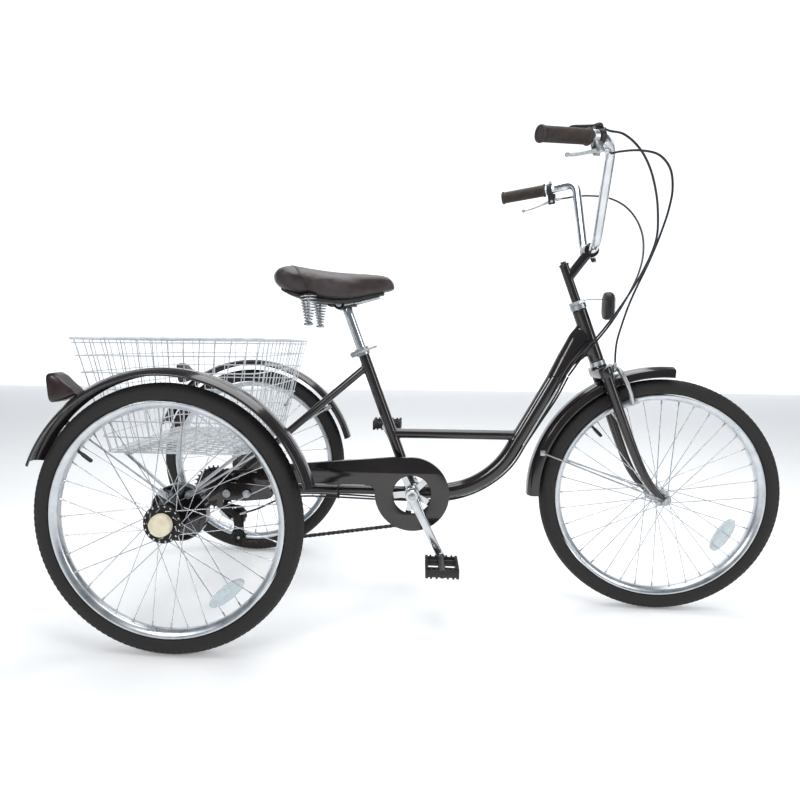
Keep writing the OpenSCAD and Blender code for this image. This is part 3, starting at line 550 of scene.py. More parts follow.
cap_outline = np.array([(0, 45.8), (12, 45.6), (19, 44.6), (23, 42), (24.2, 38), (24.2, 28.2),
                        (0, 28.2)]) / 1000
for name, side in (("right", -1), ("left", 1)):
    c, body = wheels[name][:2]
    piece(f"hub_cap_{name}", turn(cap_outline * [1, side], c, steps=64), ivory_cap, body, 40)
    rings = [turn(np.array([(31.2, side * 23.2), (33.3, side * 23.2), (33.6, side * 25), (33.3, side * 26.8),
                            (31.2, side * 26.8)]) / 1000, c, steps=72),
             turn(np.array([(14, side * -30), (17, side * -28), (17.5, side * -22), (14, side * -20)]) / 1000,
                  c,
                  steps=48)]
    piece(f"hub_edges_{name}", merge(rings), black_steel, body, 40)
c, body = wheels["front"][:2]
front_axle = [turn(np.array([(0, s * 63), (4.6, s * 63), (4.8, s * 62), (4.8, s * 44.5),
                             (0, s * 44.5)]) / 1000, c,
                   steps=24) for s in (-1, 1)]
front_axle += [turn(np.array([(4, s * 64.6), (8.2, s * 64.6), (9, s * 63.8), (9, s * 57.5),
                              (4, s * 57.5)]) / 1000, c,
                    steps=6) for s in (-1, 1)]
front_axle += [turn(np.array([(4, s * 57.4), (11, s * 57.4), (11.4, s * 56.8), (11, s * 56.2),
                              (4, s * 56.2)]) / 1000,
                    c, steps=32) for s in (-1, 1)]
piece("front_axle_nuts", merge(front_axle), zinc, "steering", 30)

# %% [markdown]
# A mudguard is steel strip rolled to a shallow crown, with two pressed ridges along it and
# its edges rolled back into a bead. The section is drawn once and turned part of the way
# round the axle.

# %% Mudguards
def guard_outline(half, skirt):
    top = []
    for y in np.linspace(-half, half, 41):
        r = 331 - 42 + math.sqrt(42 ** 2 - y ** 2)
        ridge = 0.9 * math.exp(-((abs(y) - 11) / 1.6) ** 2)
        top.append((r - 0.9 + ridge, y))
    low = top[-1][0] - skirt
    under = [(r - 1.4, y * (half - 1.4) / half) for r, y in top[::-1]]
    bead = [(low, half + 0.2), (low - 2.0, half + 0.4), (low - 3.4, half - 0.5), (low - 3.2, half - 2.0),
            (low, half - 1.5)]
    other = [(r, -y) for r, y in bead[::-1]]
    return np.array(top + bead + under + other) / 1000


def guard_piece(name, c, half, skirt, start, stop, body, stand_for):
    piece(name, turn(guard_outline(half, skirt), c, start=start, stop=stop, steps=90), enamel, body,
          55,
          stand_for)


guard_piece("mudguard_right_sheet", wheels["right"][0], 30, 1, 14.8, 158, "frame", ["mudguard_right"])
guard_piece("mudguard_left_sheet", wheels["left"][0], 30, 1, 14.8, 158, "frame", ["mudguard_left"])
front_c = wheels["front"][0]
guard_piece("mudguard_front_sheet", front_c, 26, 15, 86, 181, "steering", ["mudguard_front"])
stays, clips = [], []
for side in (-1, 1):
    low = front_c + np.array([-0.014, side * 0.059, 0.003])
    end = polar(front_c, 160, 0.3155, side * 0.0276)
    stays.append(sweep(rounded([front_c + np.array([-0.009, side * 0.059, 0.002]), low + 0.3 * (end - low),
                                end],
                               [0.05]), circle(0.002, 12)))
    clips.append(block((0.012, 0.003, 0.014), end, 0.001))
    clips.append(turn(np.array([(0, side * 2), (3, side * 2), (3.4, side * 1), (3.4, 0), (0, 0)]) / 1000,
                      end + [0, side * 0.0012, 0], steps=6))
piece("mudguard_front_stays", merge(stays), zinc, "steering")
piece("mudguard_front_clips", merge(clips), zinc, "steering", 25)

# %% [markdown]
# The basket is a real wire basket: a thick top ring, level rings below it, upright wires
# about 40 mm apart, and a floor of expanded metal. The wires are welded where they cross
# and then dipped in white PVC, which rounds every joint.

# %% Wire basket
def basket_ring(t, inset=0.0, count=160):
    """The rounded rectangle of the basket at height share t, as points in metres."""
    x0, x1, half = -208 - 36 * t + inset, 138 + 56 * t - inset, 205 + 78 * t - inset
    r, z = 34 - inset, 421.4 + 267 * t
    corners = [(x1 - r, half - r, 0), (x0 + r, half - r, 90), (x0 + r, -half + r, 180),
               (x1 - r, -half + r, 270)]
    loop = []
    for cx, cy, a0 in corners:
        loop += [(cx + r * math.cos(math.radians(a)), cy + r * math.sin(math.radians(a)))
                 for a in np.linspace(a0, a0 + 90, 13)]
    loop = np.array(loop + [loop[0]])
    run = np.concatenate([[0], np.cumsum(np.linalg.norm(np.diff(loop, axis=0), axis=1))])
    s = np.linspace(0, run[-1], count, endpoint=False)
    x, y = np.interp(s, run, loop[:, 0]), np.interp(s, run, loop[:, 1])
    return np.array([at(a, b, z) for a, b in zip(x, y)])


rings = []
for i in range(8):
    r = 0.0030 if i == 7 else 0.0015
    line = basket_ring(i / 7, 3.0 if i == 7 else 1.5)
    rings.append(sweep(line, circle(r, 8), (0, 0, 1), closed=True))
rings.append(sweep(basket_ring(0.965, 2.8), circle(0.0015, 8), (0, 0, 1), closed=True))
low_ring, high_ring = basket_ring(0.0, 4.0, 54), basket_ring(1.0, 4.6, 54)
uprights = [sweep([low, high], circle(0.0013, 8), (1, 0, 0)) for low, high in zip(low_ring, high_ring)]
piece("basket_wires", merge(rings + uprights), basket_pvc, "frame", 60, ["basket"])


def floor_strands():
    """Expanded metal: flat strands in two slants that cross in long diamonds."""
    x0, x1, half, pitch, slant = -203.0, 133.0, 200.0, 27.0, 0.45
    strands = []
    reach = half + slant * (x1 - x0)
    for direction in (-1, 1):
        y = -reach
        while y < reach:
            ends = []
            for x in (x0, x1):
                ends.append((x, y + direction * slant * (x - (x0 + x1) / 2)))
            (xa, ya), (xb, yb) = ends
            t0, t1 = 0.0, 1.0
            for limit in (-half, half):
                if abs(yb - ya) > 1e-6:
                    t = (limit - ya) / (yb - ya)
                    inside_a = ya > -half if limit < 0 else ya < half
                    inside_b = yb > -half if limit < 0 else yb < half
                    if not inside_a and not inside_b:
                        t0 = 1.0
                    elif not inside_a:
                        t0 = max(t0, t)
                    elif not inside_b:
                        t1 = min(t1, t)
            if t1 - t0 > 0.02:
                a = at(xa + t0 * (xb - xa), ya + t0 * (yb - ya), 421.6 + 0.5 * direction)
                b = at(xa + t1 * (xb - xa), ya + t1 * (yb - ya), 421.6 + 0.5 * direction)
                strands.append(sweep([a, b], [(-0.0013, -0.0006), (0.0013, -0.0006), (0.0013, 0.0006),
                                              (-0.0013, 0.0006)], (0, 0, 1)))
            y += pitch
    return merge(strands)


piece("basket_floor_mesh", floor_strands(), basket_pvc, "frame", 20)

# %% [markdown]
# The rods that hold the basket and the mudguards are zinc-plated wire with hammered flat
# ends, so the round solids stay and only the ends and their screws are added.

# %% Strut ends and screws
def hexagon(centre, axis, r, depth, washer=0.0):
    out = [(0, depth), (r * 0.9, depth), (r, depth * 0.85), (r, 0), (0, 0)]
    made = [turn(out, centre, axis, (1, 0, 0) if abs(axis[0]) < 0.9 else (0, 0, 1), steps=6)]
    if washer:
        made.append(turn([(0, 0.0012), (washer, 0.0012), (washer, 0), (0, 0)], centre, axis,
                         (1, 0, 0) if abs(axis[0]) < 0.9 else (0, 0, 1), steps=32))
    return merge(made)


tabs, screws = [], []
for side in (-1, 1):
    for x, far in ((-26, at(-242, side * 281.5, 502)), (26, at(256, side * 281.5, 482))):
        near = at(x, side * 268, 340)
        way = unit(far - near)
        for end, sign in ((near, 1), (far, -1)):
            tabs.append(sweep([end - way * 0.004 * sign, end + way * 0.018 * sign],
                              [(-0.0014, -0.0062), (0.0014, -0.0062), (0.0014, 0.0062), (-0.0014, 0.0062)],
                              (0, 1, 0)))
        screws.append(hexagon(near + [0, side * 0.0015, 0], (0, side, 0), 0.0052, 0.0042, 0.0075))
    for x in (43, 96):
        screws.append(hexagon(at(x, side * 72, 292), (0, side, 0), 0.0078, 0.006, 0.0102))
piece("strut_tabs", merge(tabs), zinc, "frame", 25)
piece("frame_screws", merge(screws), zinc, "frame", 25)

# %% [markdown]
# Each tail lamp is a dark housing bolted to the mudguard: broad and flat where it faces
# back, and drawn in towards its foot. A loft through rounded squares gives that shape, and
# a prism lens sits in the broad end.

# %% Tail reflectors
def rounded_square(half_y, half_z, power=4.0, count=40):
    pts = []
    for t in np.linspace(0, 2 * math.pi, count, endpoint=False):
        pts.append((half_y * math.copysign(abs(math.cos(t)) ** (2 / power), math.cos(t)),
                    half_z * math.copysign(abs(math.sin(t)) ** (2 / power), math.sin(t))))
    return np.array(pts)


def loft(sections):
    """Sections of (centre, first axis, second axis, outline), joined in order and closed at both ends."""
    sides = len(sections[0][3])
    points = [np.asarray(c) + np.outer(o[:, 0], u) + np.outer(o[:, 1], v) for c, u, v, o in sections]
    faces = ring_faces(len(sections), sides, False)
    faces += [tuple(range(sides)),
              tuple(range(len(sections) * sides - 1, (len(sections) - 1) * sides - 1, -1))]
    return np.concatenate(points), faces


for name, side in (("right", -1), ("left", 1)):
    c = wheels[name][0]
    back = np.array([-0.9962, 0, -0.0872])
    up = np.array([-0.0872, 0, 0.9962])
    y = np.array([0, 1.0, 0])
    centres = [(-0.2440, 0.2845, 23.0, 30.0), (-0.2420, 0.2845, 24.0, 31.5), (-0.2300, 0.2860, 24.0, 31.5),
               (-0.2150, 0.2855, 22.5, 26.0), (-0.2020, 0.2830, 20.5, 17.0), (-0.1900, 0.2790, 18.0, 9.0)]
    tilt = [up, up, up, unit(up + [-0.15, 0, 0]), unit(up + [-0.4, 0, 0]), unit(up + [-0.62, 0, 0])]
    body_shape = loft([(c + [dx, 0, dz], y / 1000, t / 1000, rounded_square(hy, hz, 5))
                       for (dx, dz, hy, hz), t in zip(centres, tilt)])
    piece(f"tail_lamp_{name}_body", body_shape, maroon_body, "frame", 40, ["tail_reflectors"])
    lens = loft([(c + [-0.2445, 0, 0.2845], y / 1000, up / 1000, rounded_square(20.5, 27.5, 5)),
                 (c + [-0.2462, 0, 0.2845], y / 1000, up / 1000, rounded_square(19.5, 26.5, 5))])
    piece(f"tail_lamp_{name}_lens", lens, red_lens, "frame", 40)

# %% [markdown]
# The down tube is one long bend that flares into the head tube. Welded and ground, the
# joint looks cast in one, so the two tubes and the web between them are fused as volume
# and smoothed, which rounds the inner corners as weld and filler do.

# %% Down tube and head
def fused(shapes, voxel, passes):
    """Joins closed shapes into one skin and rounds where they meet."""
    points, faces = merge(shapes)
    mesh = bpy.data.meshes.new("fusing")
    mesh.from_pydata(points.tolist(), [], faces)
    obj = bpy.data.objects.new("fusing", mesh)
    bpy.context.scene.collection.objects.link(obj)
    remesh = obj.modifiers.new("remesh", "REMESH")
    remesh.mode, remesh.voxel_size = "VOXEL", voxel
    smooth = obj.modifiers.new("smooth", "SMOOTH")
    smooth.factor, smooth.iterations = 0.5, passes
    result = obj.evaluated_get(bpy.context.evaluated_depsgraph_get()).to_mesh()
    shape = (np.array([v.co[:] for v in result.vertices]), [tuple(f.vertices) for f in result.polygons])
    bpy.data.objects.remove(obj)
    return shape


down_end = at(587, 0, 294)
down_corner = down_end + [0.1297, 0, 0]
slope = np.array([math.cos(math.radians(61)), 0, math.sin(math.radians(61))])
joint_from = down_corner + 0.345 * slope
tube_line = rounded([at(541, 0, 294), down_corner, joint_from], [0.22], 4)
piece("down_tube_bent", sweep(tube_line, circle(0.020, 40)), enamel, "frame", 50,
      ["down_tube"])

head_body = turn(np.array([(0, 377), (17, 377), (18, 379), (18, 516), (17, 518), (0, 518)]) / 1000,
                 steer_foot,
                 steer_z, steer_x, steps=48)
flare = loft([(joint_from - 0.004 * slope, np.array([0, 0.0205, 0]), np.cross(slope, [0, 1, 0]) * 0.0205,
               circle(1, 40)),
              (down_corner + 0.395 * slope, np.array([0, 0.0200, 0]), np.cross(slope, [0, 1, 0]) * 0.024,
               circle(1, 40)),
              (on_steer(-30, 0, 432), np.array([0, 0.0185, 0]), unit([-0.62, 0, 0.78]) * 0.036,
               circle(1, 40)),
              (on_steer(-8, 0, 434), np.array([0, 0.0165, 0]), unit([-0.42, 0, 0.9]) * 0.050, circle(1, 40)),
              (on_steer(0, 0, 436), np.array([0, 0.015, 0]), unit([-0.36, 0, 0.93]) * 0.052, circle(1, 40))])
stub = rod(joint_from - 0.004 * slope, joint_from + 0.012 * slope, 0.0202, 40)
piece("head_flare", fused([head_body, flare, stub], 0.0022, 14), enamel, "frame", 60,
      ["head_tube"])

# %% Pinstripes
# Two thin white lines follow the straight of the down tube on each side.
def stripe(angle, side, start, stop):
    across = unit(np.cross(slope, [0, 1, 0]))
    a = math.radians(angle)
    out = np.array([0, side * math.cos(a), 0]) + across * math.sin(a)
    line = [down_corner + d * slope + 0.0201 * out for d in np.linspace(start, stop, 12)]
    return sweep(line, [(-0.0009, -0.0002), (0.0009, -0.0002), (0.0009, 0.0002), (-0.0009, 0.0002)],
                 np.cross(out, slope))


lines = [stripe(angle, side, 0.155, 0.338) for side in (-1, 1) for angle in (-48, -56, 48)]
piece("down_tube_pinstripes", merge(lines), enamel_white, "frame", 40)

# %% [markdown]
# Where two tubes meet, the brazing leaves a small rounded collar. A ring swept along the
# line where the tubes cross shows it.

# %% Weld collars
def saddle_line(start, way, r, main_point, main_dir, main_r):
    """Where a tube from start along way meets a main tube, as a closed line round it."""
    way, main_dir = unit(way), unit(main_dir)
    u = unit(np.cross(way, [0, 1, 0]))
    v = np.array([0, 1.0, 0])
    line = []
    for t in np.linspace(0, 2 * math.pi, 40, endpoint=False):
        p = start + r * (math.cos(t) * u + math.sin(t) * v)
        o = p - main_point
        o -= (o @ main_dir) * main_dir
        w = way - (way @ main_dir) * main_dir
        a, b, c = w @ w, 2 * (o @ w), o @ o - main_r ** 2
        root = math.sqrt(max(b * b - 4 * a * c, 0))
        s = min([(-b - root) / (2 * a), (-b + root) / (2 * a)], key=abs)
        line.append(p + s * way)
    return np.array(line)


collars = [
    saddle_line(at(487, 0, 446), (-1, 0, 0), 0.0125, on_seat(0), seat_dir, 0.0143),
    saddle_line(at(780, 0, 446), (1, 0, 0), 0.0125, down_corner, slope, 0.020),
    saddle_line(at(370, 0, 596.4), (0.7645, 0, 0.6446), 0.010, on_seat(0), seat_dir, 0.0143),
    saddle_line(on_seat(30), -seat_dir, 0.0143, crank_axis, (0, 1, 0), 0.020),
    saddle_line(at(560, 0, 294), (-1, 0, 0), 0.020, crank_axis, (0, 1, 0), 0.020),
    saddle_line(at(480, 0, 292), (1, 0, 0), 0.012, crank_axis, (0, 1, 0), 0.020),
]
piece("weld_collars", merge([sweep(line, circle(0.0024, 8), (0.3, 1, 0.2), closed=True) for line in collars]),
      enamel,
      "frame", 60)

# %% [markdown]
# The fork's two blades taper from the crown to the axle and curve forward near their ends.
# They are drawn tube, so each is one sweep whose radius shrinks, with a flat tip.

# %% Fork
blades = []
for side in (-1, 1):
    line = flowing([on_steer(0, side * 40, 358), on_steer(0, side * 40.5, 320), on_steer(0, side * 43, 230),
                    on_steer(0.5, side * 46, 150), on_steer(3, side * 49, 90), on_steer(11, side * 51.5, 45),
                    on_steer(24, side * 53, 12), on_steer(29, side * 53, 3)], 8)
    size = np.interp(np.linspace(0, 1, len(line)), [0, 0.25, 0.6, 1], [0.0125, 0.0125, 0.0105, 0.0075])
    blades.append(sweep(line, circle(1, 24), scale=size))
    blades.append(turn([(0.0048, 0.003), (0.0125, 0.003), (0.0125, -0.003), (0.0048, -0.003)],
                       front_c + [0, side * 0.053, 0], steps=32))
    blades.append(sweep([on_steer(20, side * 53, 18), on_steer(RAKE, side * 53, 0)],
                        [(-0.003, -0.008), (0.003, -0.008), (0.003, 0.008), (-0.003, 0.008)]))
crown_loop = np.array([(16.5 * math.cos(a),
                        16.5 * math.sin(a) + math.copysign(40, math.sin(a + 1e-9)))
                       for a in np.linspace(0, 2 * math.pi, 48, endpoint=False)]) / 1000
crown = placed(stamped([crown_loop], 0.027, 0.005), on_steer(0, 0, 349), steer_x, (0, 1, 0), steer_z)
neck = turn(np.array([(0, 358), (21, 358), (20, 363), (18.5, 366), (0, 366)]) / 1000, steer_foot, steer_z,
            steer_x,
            steps=40)
piece("fork_blades", merge(blades + [crown, neck]), enamel, "steering", 45, ["fork"])
nut = turn(np.array([(12.8, 529), (19, 529), (20, 530), (20, 537), (19, 538), (12.8, 538)]) / 1000,
           steer_foot,
           steer_z, steer_x, steps=8)
washer = turn(np.array([(12.8, 526), (18, 526), (18, 528.5), (12.8, 528.5)]) / 1000, steer_foot, steer_z,
              steer_x,
              steps=40)
piece("headset_locknut", merge([nut, washer]), zinc, "steering", 30)
quill = [turn(np.array([(0, 644), (6.2, 644), (7, 643), (7, 636), (0, 636)]) / 1000, steer_foot, steer_z,
              steer_x,
              steps=24),
         hexagon(on_steer(70, 0, 645) + [0.008, 0, -0.0175], unit([0.43, 0, -0.9]), 0.0062, 0.012, 0.0078)]
piece("stem_bolts", merge(quill), zinc, "steering", 30)
stem_lip = [turn(np.array([(0, 632), (11.8, 632), (12.4, 633.5), (12.4, 635.5), (11.6, 637),
                           (0, 637)]) / 1000,
                 steer_foot, steer_z, steer_x, steps=32)]
piece("stem_top_lip", merge(stem_lip), enamel, "steering")

# %% [markdown]
# The handlebar is one chromed tube: level at the clamp, up both risers, then back to the
# grips. Its chrome needs a true round section, so it is swept finely.

# %% Handlebar
bar_clamp = on_steer(70, 0, 645)


def bar_points(side):
    return [bar_clamp + np.array(p) * [1, side, 1] / 1000 for p in
            ((0, 0, 0), (0, 48, 0), (-2, 142, 204), (-35, 190, 207), (-180, 250, 196))]


bar = rounded(bar_points(-1)[:0:-1] + bar_points(1)[1:], [0.06, 0.045, 0.045, 0.045, 0.045, 0.06], 5)
piece("handlebar_tube", sweep(bar, circle(0.0111, 40), (1, 0, 0.2)), chrome, "steering", 60,
      ["handlebar"])


def grip_dir(side):
    return unit(bar_points(side)[4] - bar_points(side)[3])


def on_grip(side, d):
    return bar_points(side)[3] + d / 1000 * grip_dir(side)


for name, side in (("right", -1), ("left", 1)):
    outline = [(11.15, 38), (17.6, 38), (18.2, 39), (18.2, 41.5), (16.2, 43)]
    for k in range(24):
        d = 44.5 + 4.5 * k
        outline += [(16.1, d), (16.1, d + 2.9), (15.2, d + 3.3), (15.2, d + 4.1)]
    outline += [(16.2, 153.5), (17.8, 154.5), (17.9, 158), (17.0, 160.2), (14.5, 160.8), (13.8, 159.6),
                (0, 159.4)]
    outline += [(0, 158.8), (11.15, 158.8)]
    g = grip_dir(side)
    piece(f"grip_{name}_ribbed",
          turn(np.array(outline) / 1000, bar_points(side)[3], g, np.cross(g, [0, 0, 1]),
                                      steps=56), grip_rubber, "steering", 40, [f"grip_{name}"])

# %% [markdown]
# Each brake lever hangs below the bar in a bracket. A lever is a forging: broad at the
# pivot, thin in the blade, with a ball at its end. The near bracket is bare alloy and the
# far one is black, and the thumb shifter's clamp sits inboard of the near one.

# %% Lever frames
def lever_frame(side):
    g = grip_dir(side)
    d = np.array([0, side * 0.35, -1.0])
    z = unit(d - (d @ g) * g)
    return on_grip(side, 26), g, np.cross(z, g), z


def on_lever(side, x, y, z):
    o, gx, gy, gz = lever_frame(side)
    return o + (x * gx + y * gy + z * gz) / 1000


def lever_shape(side, shape_mm):
    o, gx, gy, gz = lever_frame(side)
    return placed((np.asarray(shape_mm[0]) / 1000, shape_mm[1]), o, gx, gy, gz)


for name, side, bracket in (("right", -1, cast_alloy), ("left", 1, moulded_black)):
    line = flowing([(-5, 0, 31), (8, 0, 34), (22, 0, 37.5), (42, 0, 42), (60, 0, 45), (75, 0, 46)], 6)
    t = np.linspace(0, 1, len(line))
    wide = np.interp(t, [0, 0.2, 0.45, 0.9, 1], [6.2, 6.0, 5.7, 5.2, 4.2])
    deep = np.interp(t, [0, 0.2, 0.45, 0.9, 1], [6.2, 4.2, 2.8, 2.4, 2.4])
    blade = sweep(line, circle(1, 20), (0, 1, 0), scale=np.column_stack([wide, deep]))
    ball = turn([(0, -5)] + [(5 * math.cos(a),
                              5 * math.sin(a)) for a in np.radians(range(-75, 90, 15))] + [(0, 5)],
                (78, 0, 46), (0, 0, 1), steps=24)
    boss = turn([(0, -4.6), (6.8, -4.6), (7.2, -4), (7.2, 4), (6.8, 4.6), (0, 4.6)], (-4, 0, 32), (0, 1, 0),
                steps=32)
    pin = turn([(0, -10), (3.6, -10), (4, -9.4), (4, -8.8), (2.4, -8.8), (2.4, 8.8), (4, 8.8), (4, 9.4),
                (3.6, 10),
                (0, 10)], (-4, 0, 32), (0, 1, 0), steps=24)
    piece(f"brake_lever_{name}_blade", lever_shape(side, merge([blade, ball, boss, pin])), cast_alloy,
          f"brake_lever_{name}", 40, [f"brake_lever_{name}"])
    band = turn([(11.3, -7), (14.6, -7), (15.4, -6), (15.4, 6), (14.6, 7), (11.3, 7)], (0, 0, 0), (1, 0, 0),
                (0, 0, 1), steps=48)
    cheeks = [block((17, 3.6, 27), (-3, s * 7.2, 27), 1.4) for s in (-1, 1)]
    bridge = block((9, 17, 12), (-9.5, 0, 20), 2)
    root = block((14, 14, 8), (-2, 0, 15.5), 2)
    ear = block((6, 10, 9), (-3, 0, -17), 1.5)
    screw = turn([(0, -7), (3.2, -7), (3.2, 7), (0, 7)], (-3, 0, -18), (0, 1, 0), steps=16)
    stop = turn([(0, 26), (4.6, 26), (4.6, 18), (3.4, 16), (3.4, 8), (0, 8)], (0, 0, 30), (-1, 0, 0),
                (0, 0, 1),
                steps=24)
    piece(f"brake_bracket_{name}", lever_shape(side, merge([band, *cheeks, bridge, root, ear])), bracket,
          "steering",
          30, ["brake_mounts"])
    piece(f"brake_adjuster_{name}", lever_shape(side, merge([stop, screw])), zinc, "steering",
          30)

# %% Thumb shifter
clamp = turn([(11.3, -6.5), (15.8, -6.5), (16.6, -5.5), (16.6, 5.5), (15.8, 6.5), (11.3, 6.5)], (-15.5, 0, 0),
             (1, 0, 0), (0, 0, 1), steps=40)
seat_block = block((17, 20, 7), (-15.5, 0, -15), 2)
drum = turn([(0, -17.6), (12.4, -17.6), (13, -18.4), (13, -25), (12.2, -27), (0, -27)], (-15.5, 0, 0),
            (0, 0, 1),
            steps=48)
piece("shifter_clamp", lever_shape(-1, merge([clamp, seat_block])), moulded_black, "steering",
      35)
arm_way = np.array([math.cos(math.radians(12)), math.sin(math.radians(12)), 0])
arm_line = [np.array([-15.5, 0, -25.6]) + arm_way * d + [0, 0, h] for d, h in
            ((0, 0), (14, -0.4), (30, -1.6), (46, -2.8), (58, -2.2), (66, -0.6))]
arm = sweep(flowing(arm_line, 5), circle(1, 16), (0, 1, 0),
            scale=np.column_stack([np.interp(np.linspace(0, 1, 26), [0, 0.5, 0.8, 1], [7, 6.5, 8.5, 7]),
                                   np.interp(np.linspace(0, 1, 26), [0, 0.5, 0.8, 1], [5.0, 4.6, 4.2, 2.6])]))
knob = turn([(0, -31), (4.6, -31), (5.2, -30), (5.2, -27), (0, -27)], (-15.5, 0, 0), (0, 0, 1), steps=24)
piece("shifter_thumb_lever", lever_shape(-1, merge([drum, arm, knob])), moulded_black, "shifter_lever",
      40, ["shifter_lever"])

# %% [markdown]
# The front brake is a side-pull caliper: two curved arms on one bolt through the fork
# crown, closed by the cable at their upper ends, with a rubber pad beside each rim wall.

# %% Front brake
def steer_shape(shape_mm):
    return placed((np.asarray(shape_mm[0]) / 1000, shape_mm[1]), steer_foot, steer_x, (0, 1, 0), steer_z)


for name, side, x0 in (("right", -1, 28.5), ("left", 1, 34.1)):
    path = [(x0, -side * 8, 350), (x0, side * 4, 347), (x0, side * 22, 351), (34, side * 38, 341),
            (37, side * 45.5, 316), (39, side * 44.5, 286), (39, side * 37, 262), (39, side * 31, 250)]
    line = flowing(path, 6)
    t = np.linspace(0, 1, len(line))
    arm = sweep(line, circle(1, 16), (1, 0, 0),
                scale=np.column_stack([np.interp(t, [0, 0.28, 0.45, 1], [2.5, 2.5, 5.6, 5.2]),
                                       np.interp(t, [0, 0.15, 0.6, 1], [7, 8.0, 6.2, 5.4])]))
    boss = turn([(0, -2.7), (8.4, -2.7), (8.8, -2.2), (8.8, 2.2), (8.4, 2.7), (0, 2.7)], (x0, 0, 344),
                (1, 0, 0),
                (0, 1, 0), steps=32)
    post = turn([(0, -9.5), (4.6, -9.5), (4.6, 3.5), (0, 3.5)], (39, side * 30, 251), (0, side, 0), (1, 0, 0),
                steps=20)
    shoe = block((40, 3.0, 11), (38, side * 27.0, 251), 1.2)
    pad = block((36, 6.4, 9), (38, side * 22.6, 251), 1.6)
    piece(f"front_brake_arm_{name}_forged", steer_shape(merge([arm, boss, post, shoe])), cast_alloy,
          f"front_brake_arm_{name}", 40, [f"front_brake_arm_{name}"])
    piece(f"front_brake_pad_{name}", steer_shape(pad), tyre_rubber, f"front_brake_arm_{name}",
          35)
bolt = [turn([(0, 17), (3, 17), (3, 39), (5.4, 39.2), (5.4, 44), (3.2, 44.4), (3.2, 47), (0, 47)],
             (0, 0, 344),
             (1, 0, 0), (0, 1, 0), steps=6),
        turn([(0, 17.2), (9, 17.2), (9, 20), (5, 22), (5, 25.4), (0, 25.4)], (0, 0, 344), (1, 0, 0),
             (0, 1, 0),
             steps=32)]
piece("front_brake_bolt", steer_shape(merge(bolt)), zinc, "steering", 30)
cable_foot = at(1022, -31, 635)
barrel = sweep([cable_foot + [0.0005, 0, 0.003], cable_foot - [0.0005, 0, 0.006],
                cable_foot - [0.001, 0, 0.016],
                cable_foot - [0.001, 0, 0.018]], circle(0.0042, 12), scale=[0.8, 1.1, 1.1, 0.7])
wire = sweep([cable_foot - [0.001, 0, 0.018], at(1022, -28, 590)], circle(0.0008, 8))
piece("front_brake_barrel", merge([barrel, wire]), zinc, "steering", 40)

# %% [markdown]
# The front reflector is a white prism plate in a rounded black shell, held out from the
# headset on a bent steel strip.

# %% Front reflector
face = at(1008, 0, 779)
pill = np.array([(22 * math.cos(a), 13 * math.copysign(1, math.sin(a + 1e-9)) + 22 * math.sin(a))
                 for a in np.linspace(0, 2 * math.pi, 56, endpoint=False)]) / 1000
shell = placed(stamped([pill], 0.022, 0.007), face + [0.001, 0, 0], (0, 1, 0), (0, 0, 1), (1, 0, 0))
glass = placed(stamped([pill * 0.86], 0.003, 0.0008), face + [0.0122, 0, 0], (0, 1, 0), (0, 0, 1), (1, 0, 0))
piece("front_reflector_shell", shell, moulded_black, "steering", 35, ["front_reflector"])
piece("front_reflector_lens", glass, clear_lens, "steering", 30)
strip = rounded([on_steer(12, 0, 533), on_steer(26, 0, 533), face + [-0.020, 0, 0.016],
                 face + [-0.008, 0, 0.016]],
                [0.008, 0.01])
piece("front_reflector_bracket", sweep(strip, [(-0.006, -0.0008), (0.006, -0.0008), (0.006, 0.0008),
                                               (-0.006, 0.0008)]), zinc, "steering", 25)

# %% [markdown]
# The chain guard is pressed steel: a ring round the chainring and a long arm over the
# chain, with a rounded edge turned inward to stiffen it.

# %% Chain guard
def guard_edge(inset=0.0):
    loop = [(-402 + inset, 22 + inset), (-402 + inset, 64 - inset)]
    loop += [(-57, 94.2 - inset)]
    loop += [((95 - inset) * math.cos(a),
              (95 - inset) * math.sin(a)) for a in np.radians(np.arange(96, -186, -6))]
    corner = flowing([(-94.2 + inset, 6 + inset), (-99 + inset * 0.6, 14 + inset * 0.8), (-108, 19.5 + inset),
                      (-124, 22 + inset)], 4)
    return [tuple(p) for p in loop] + [tuple(p) for p in corner]


def round_corners(loop, r, picks):
    p = [np.array(q, float) for q in loop]
    out = []
    for i, q in enumerate(p):
        if i in picks:
            before, after = p[i - 1], p[(i + 1) % len(p)]
            a, b = q + r * unit(before - q), q + r * unit(after - q)
            out += [(1 - t) ** 2 * a + 2 * t * (1 - t) * q + t * t * b for t in np.linspace(0, 1, 7)]
        else:
            out.append(q)
    return [tuple(v) for v in out]


hole = [(0.050 * math.cos(a), 0.050 * math.sin(a)) for a in np.linspace(0, 2 * math.pi, 72, endpoint=False)]
edge = [(x / 1000, z / 1000) for x, z in round_corners(guard_edge(), 12, (0, 1))]
inner = [(x / 1000, z / 1000) for x, z in round_corners(guard_edge(2.2), 10, (0, 1))]
axes = ((1, 0, 0), (0, 0, 1), (0, -1, 0))
sheet = placed(stamped([edge, hole], 0.0022, 0.001), crank_axis + [0, -0.0591, 0], *axes)
flange = placed(stamped([edge, inner], 0.0125, 0.0008), crank_axis + [0, -0.0525, 0], *axes)
bead = sweep([crank_axis + np.array([0.0502 * math.cos(a), -0.0588, 0.0502 * math.sin(a)])
              for a in np.linspace(0, 2 * math.pi, 96, endpoint=False)], circle(0.0016, 8), closed=True)
piece("chain_guard_pressed", merge([sheet, flange, bead]), enamel, "frame", 40,
      ["chain_guard"])

# %% [markdown]
# A bicycle chain is worth making link by link: pairs of waisted plates, inner and outer in
# turn, on rollers 12.7 mm apart. The links follow the same circles and straight runs as
# the solid belt: chainring, sprocket and the two small guide wheels.

# %% Chain path
PITCH = 12.7


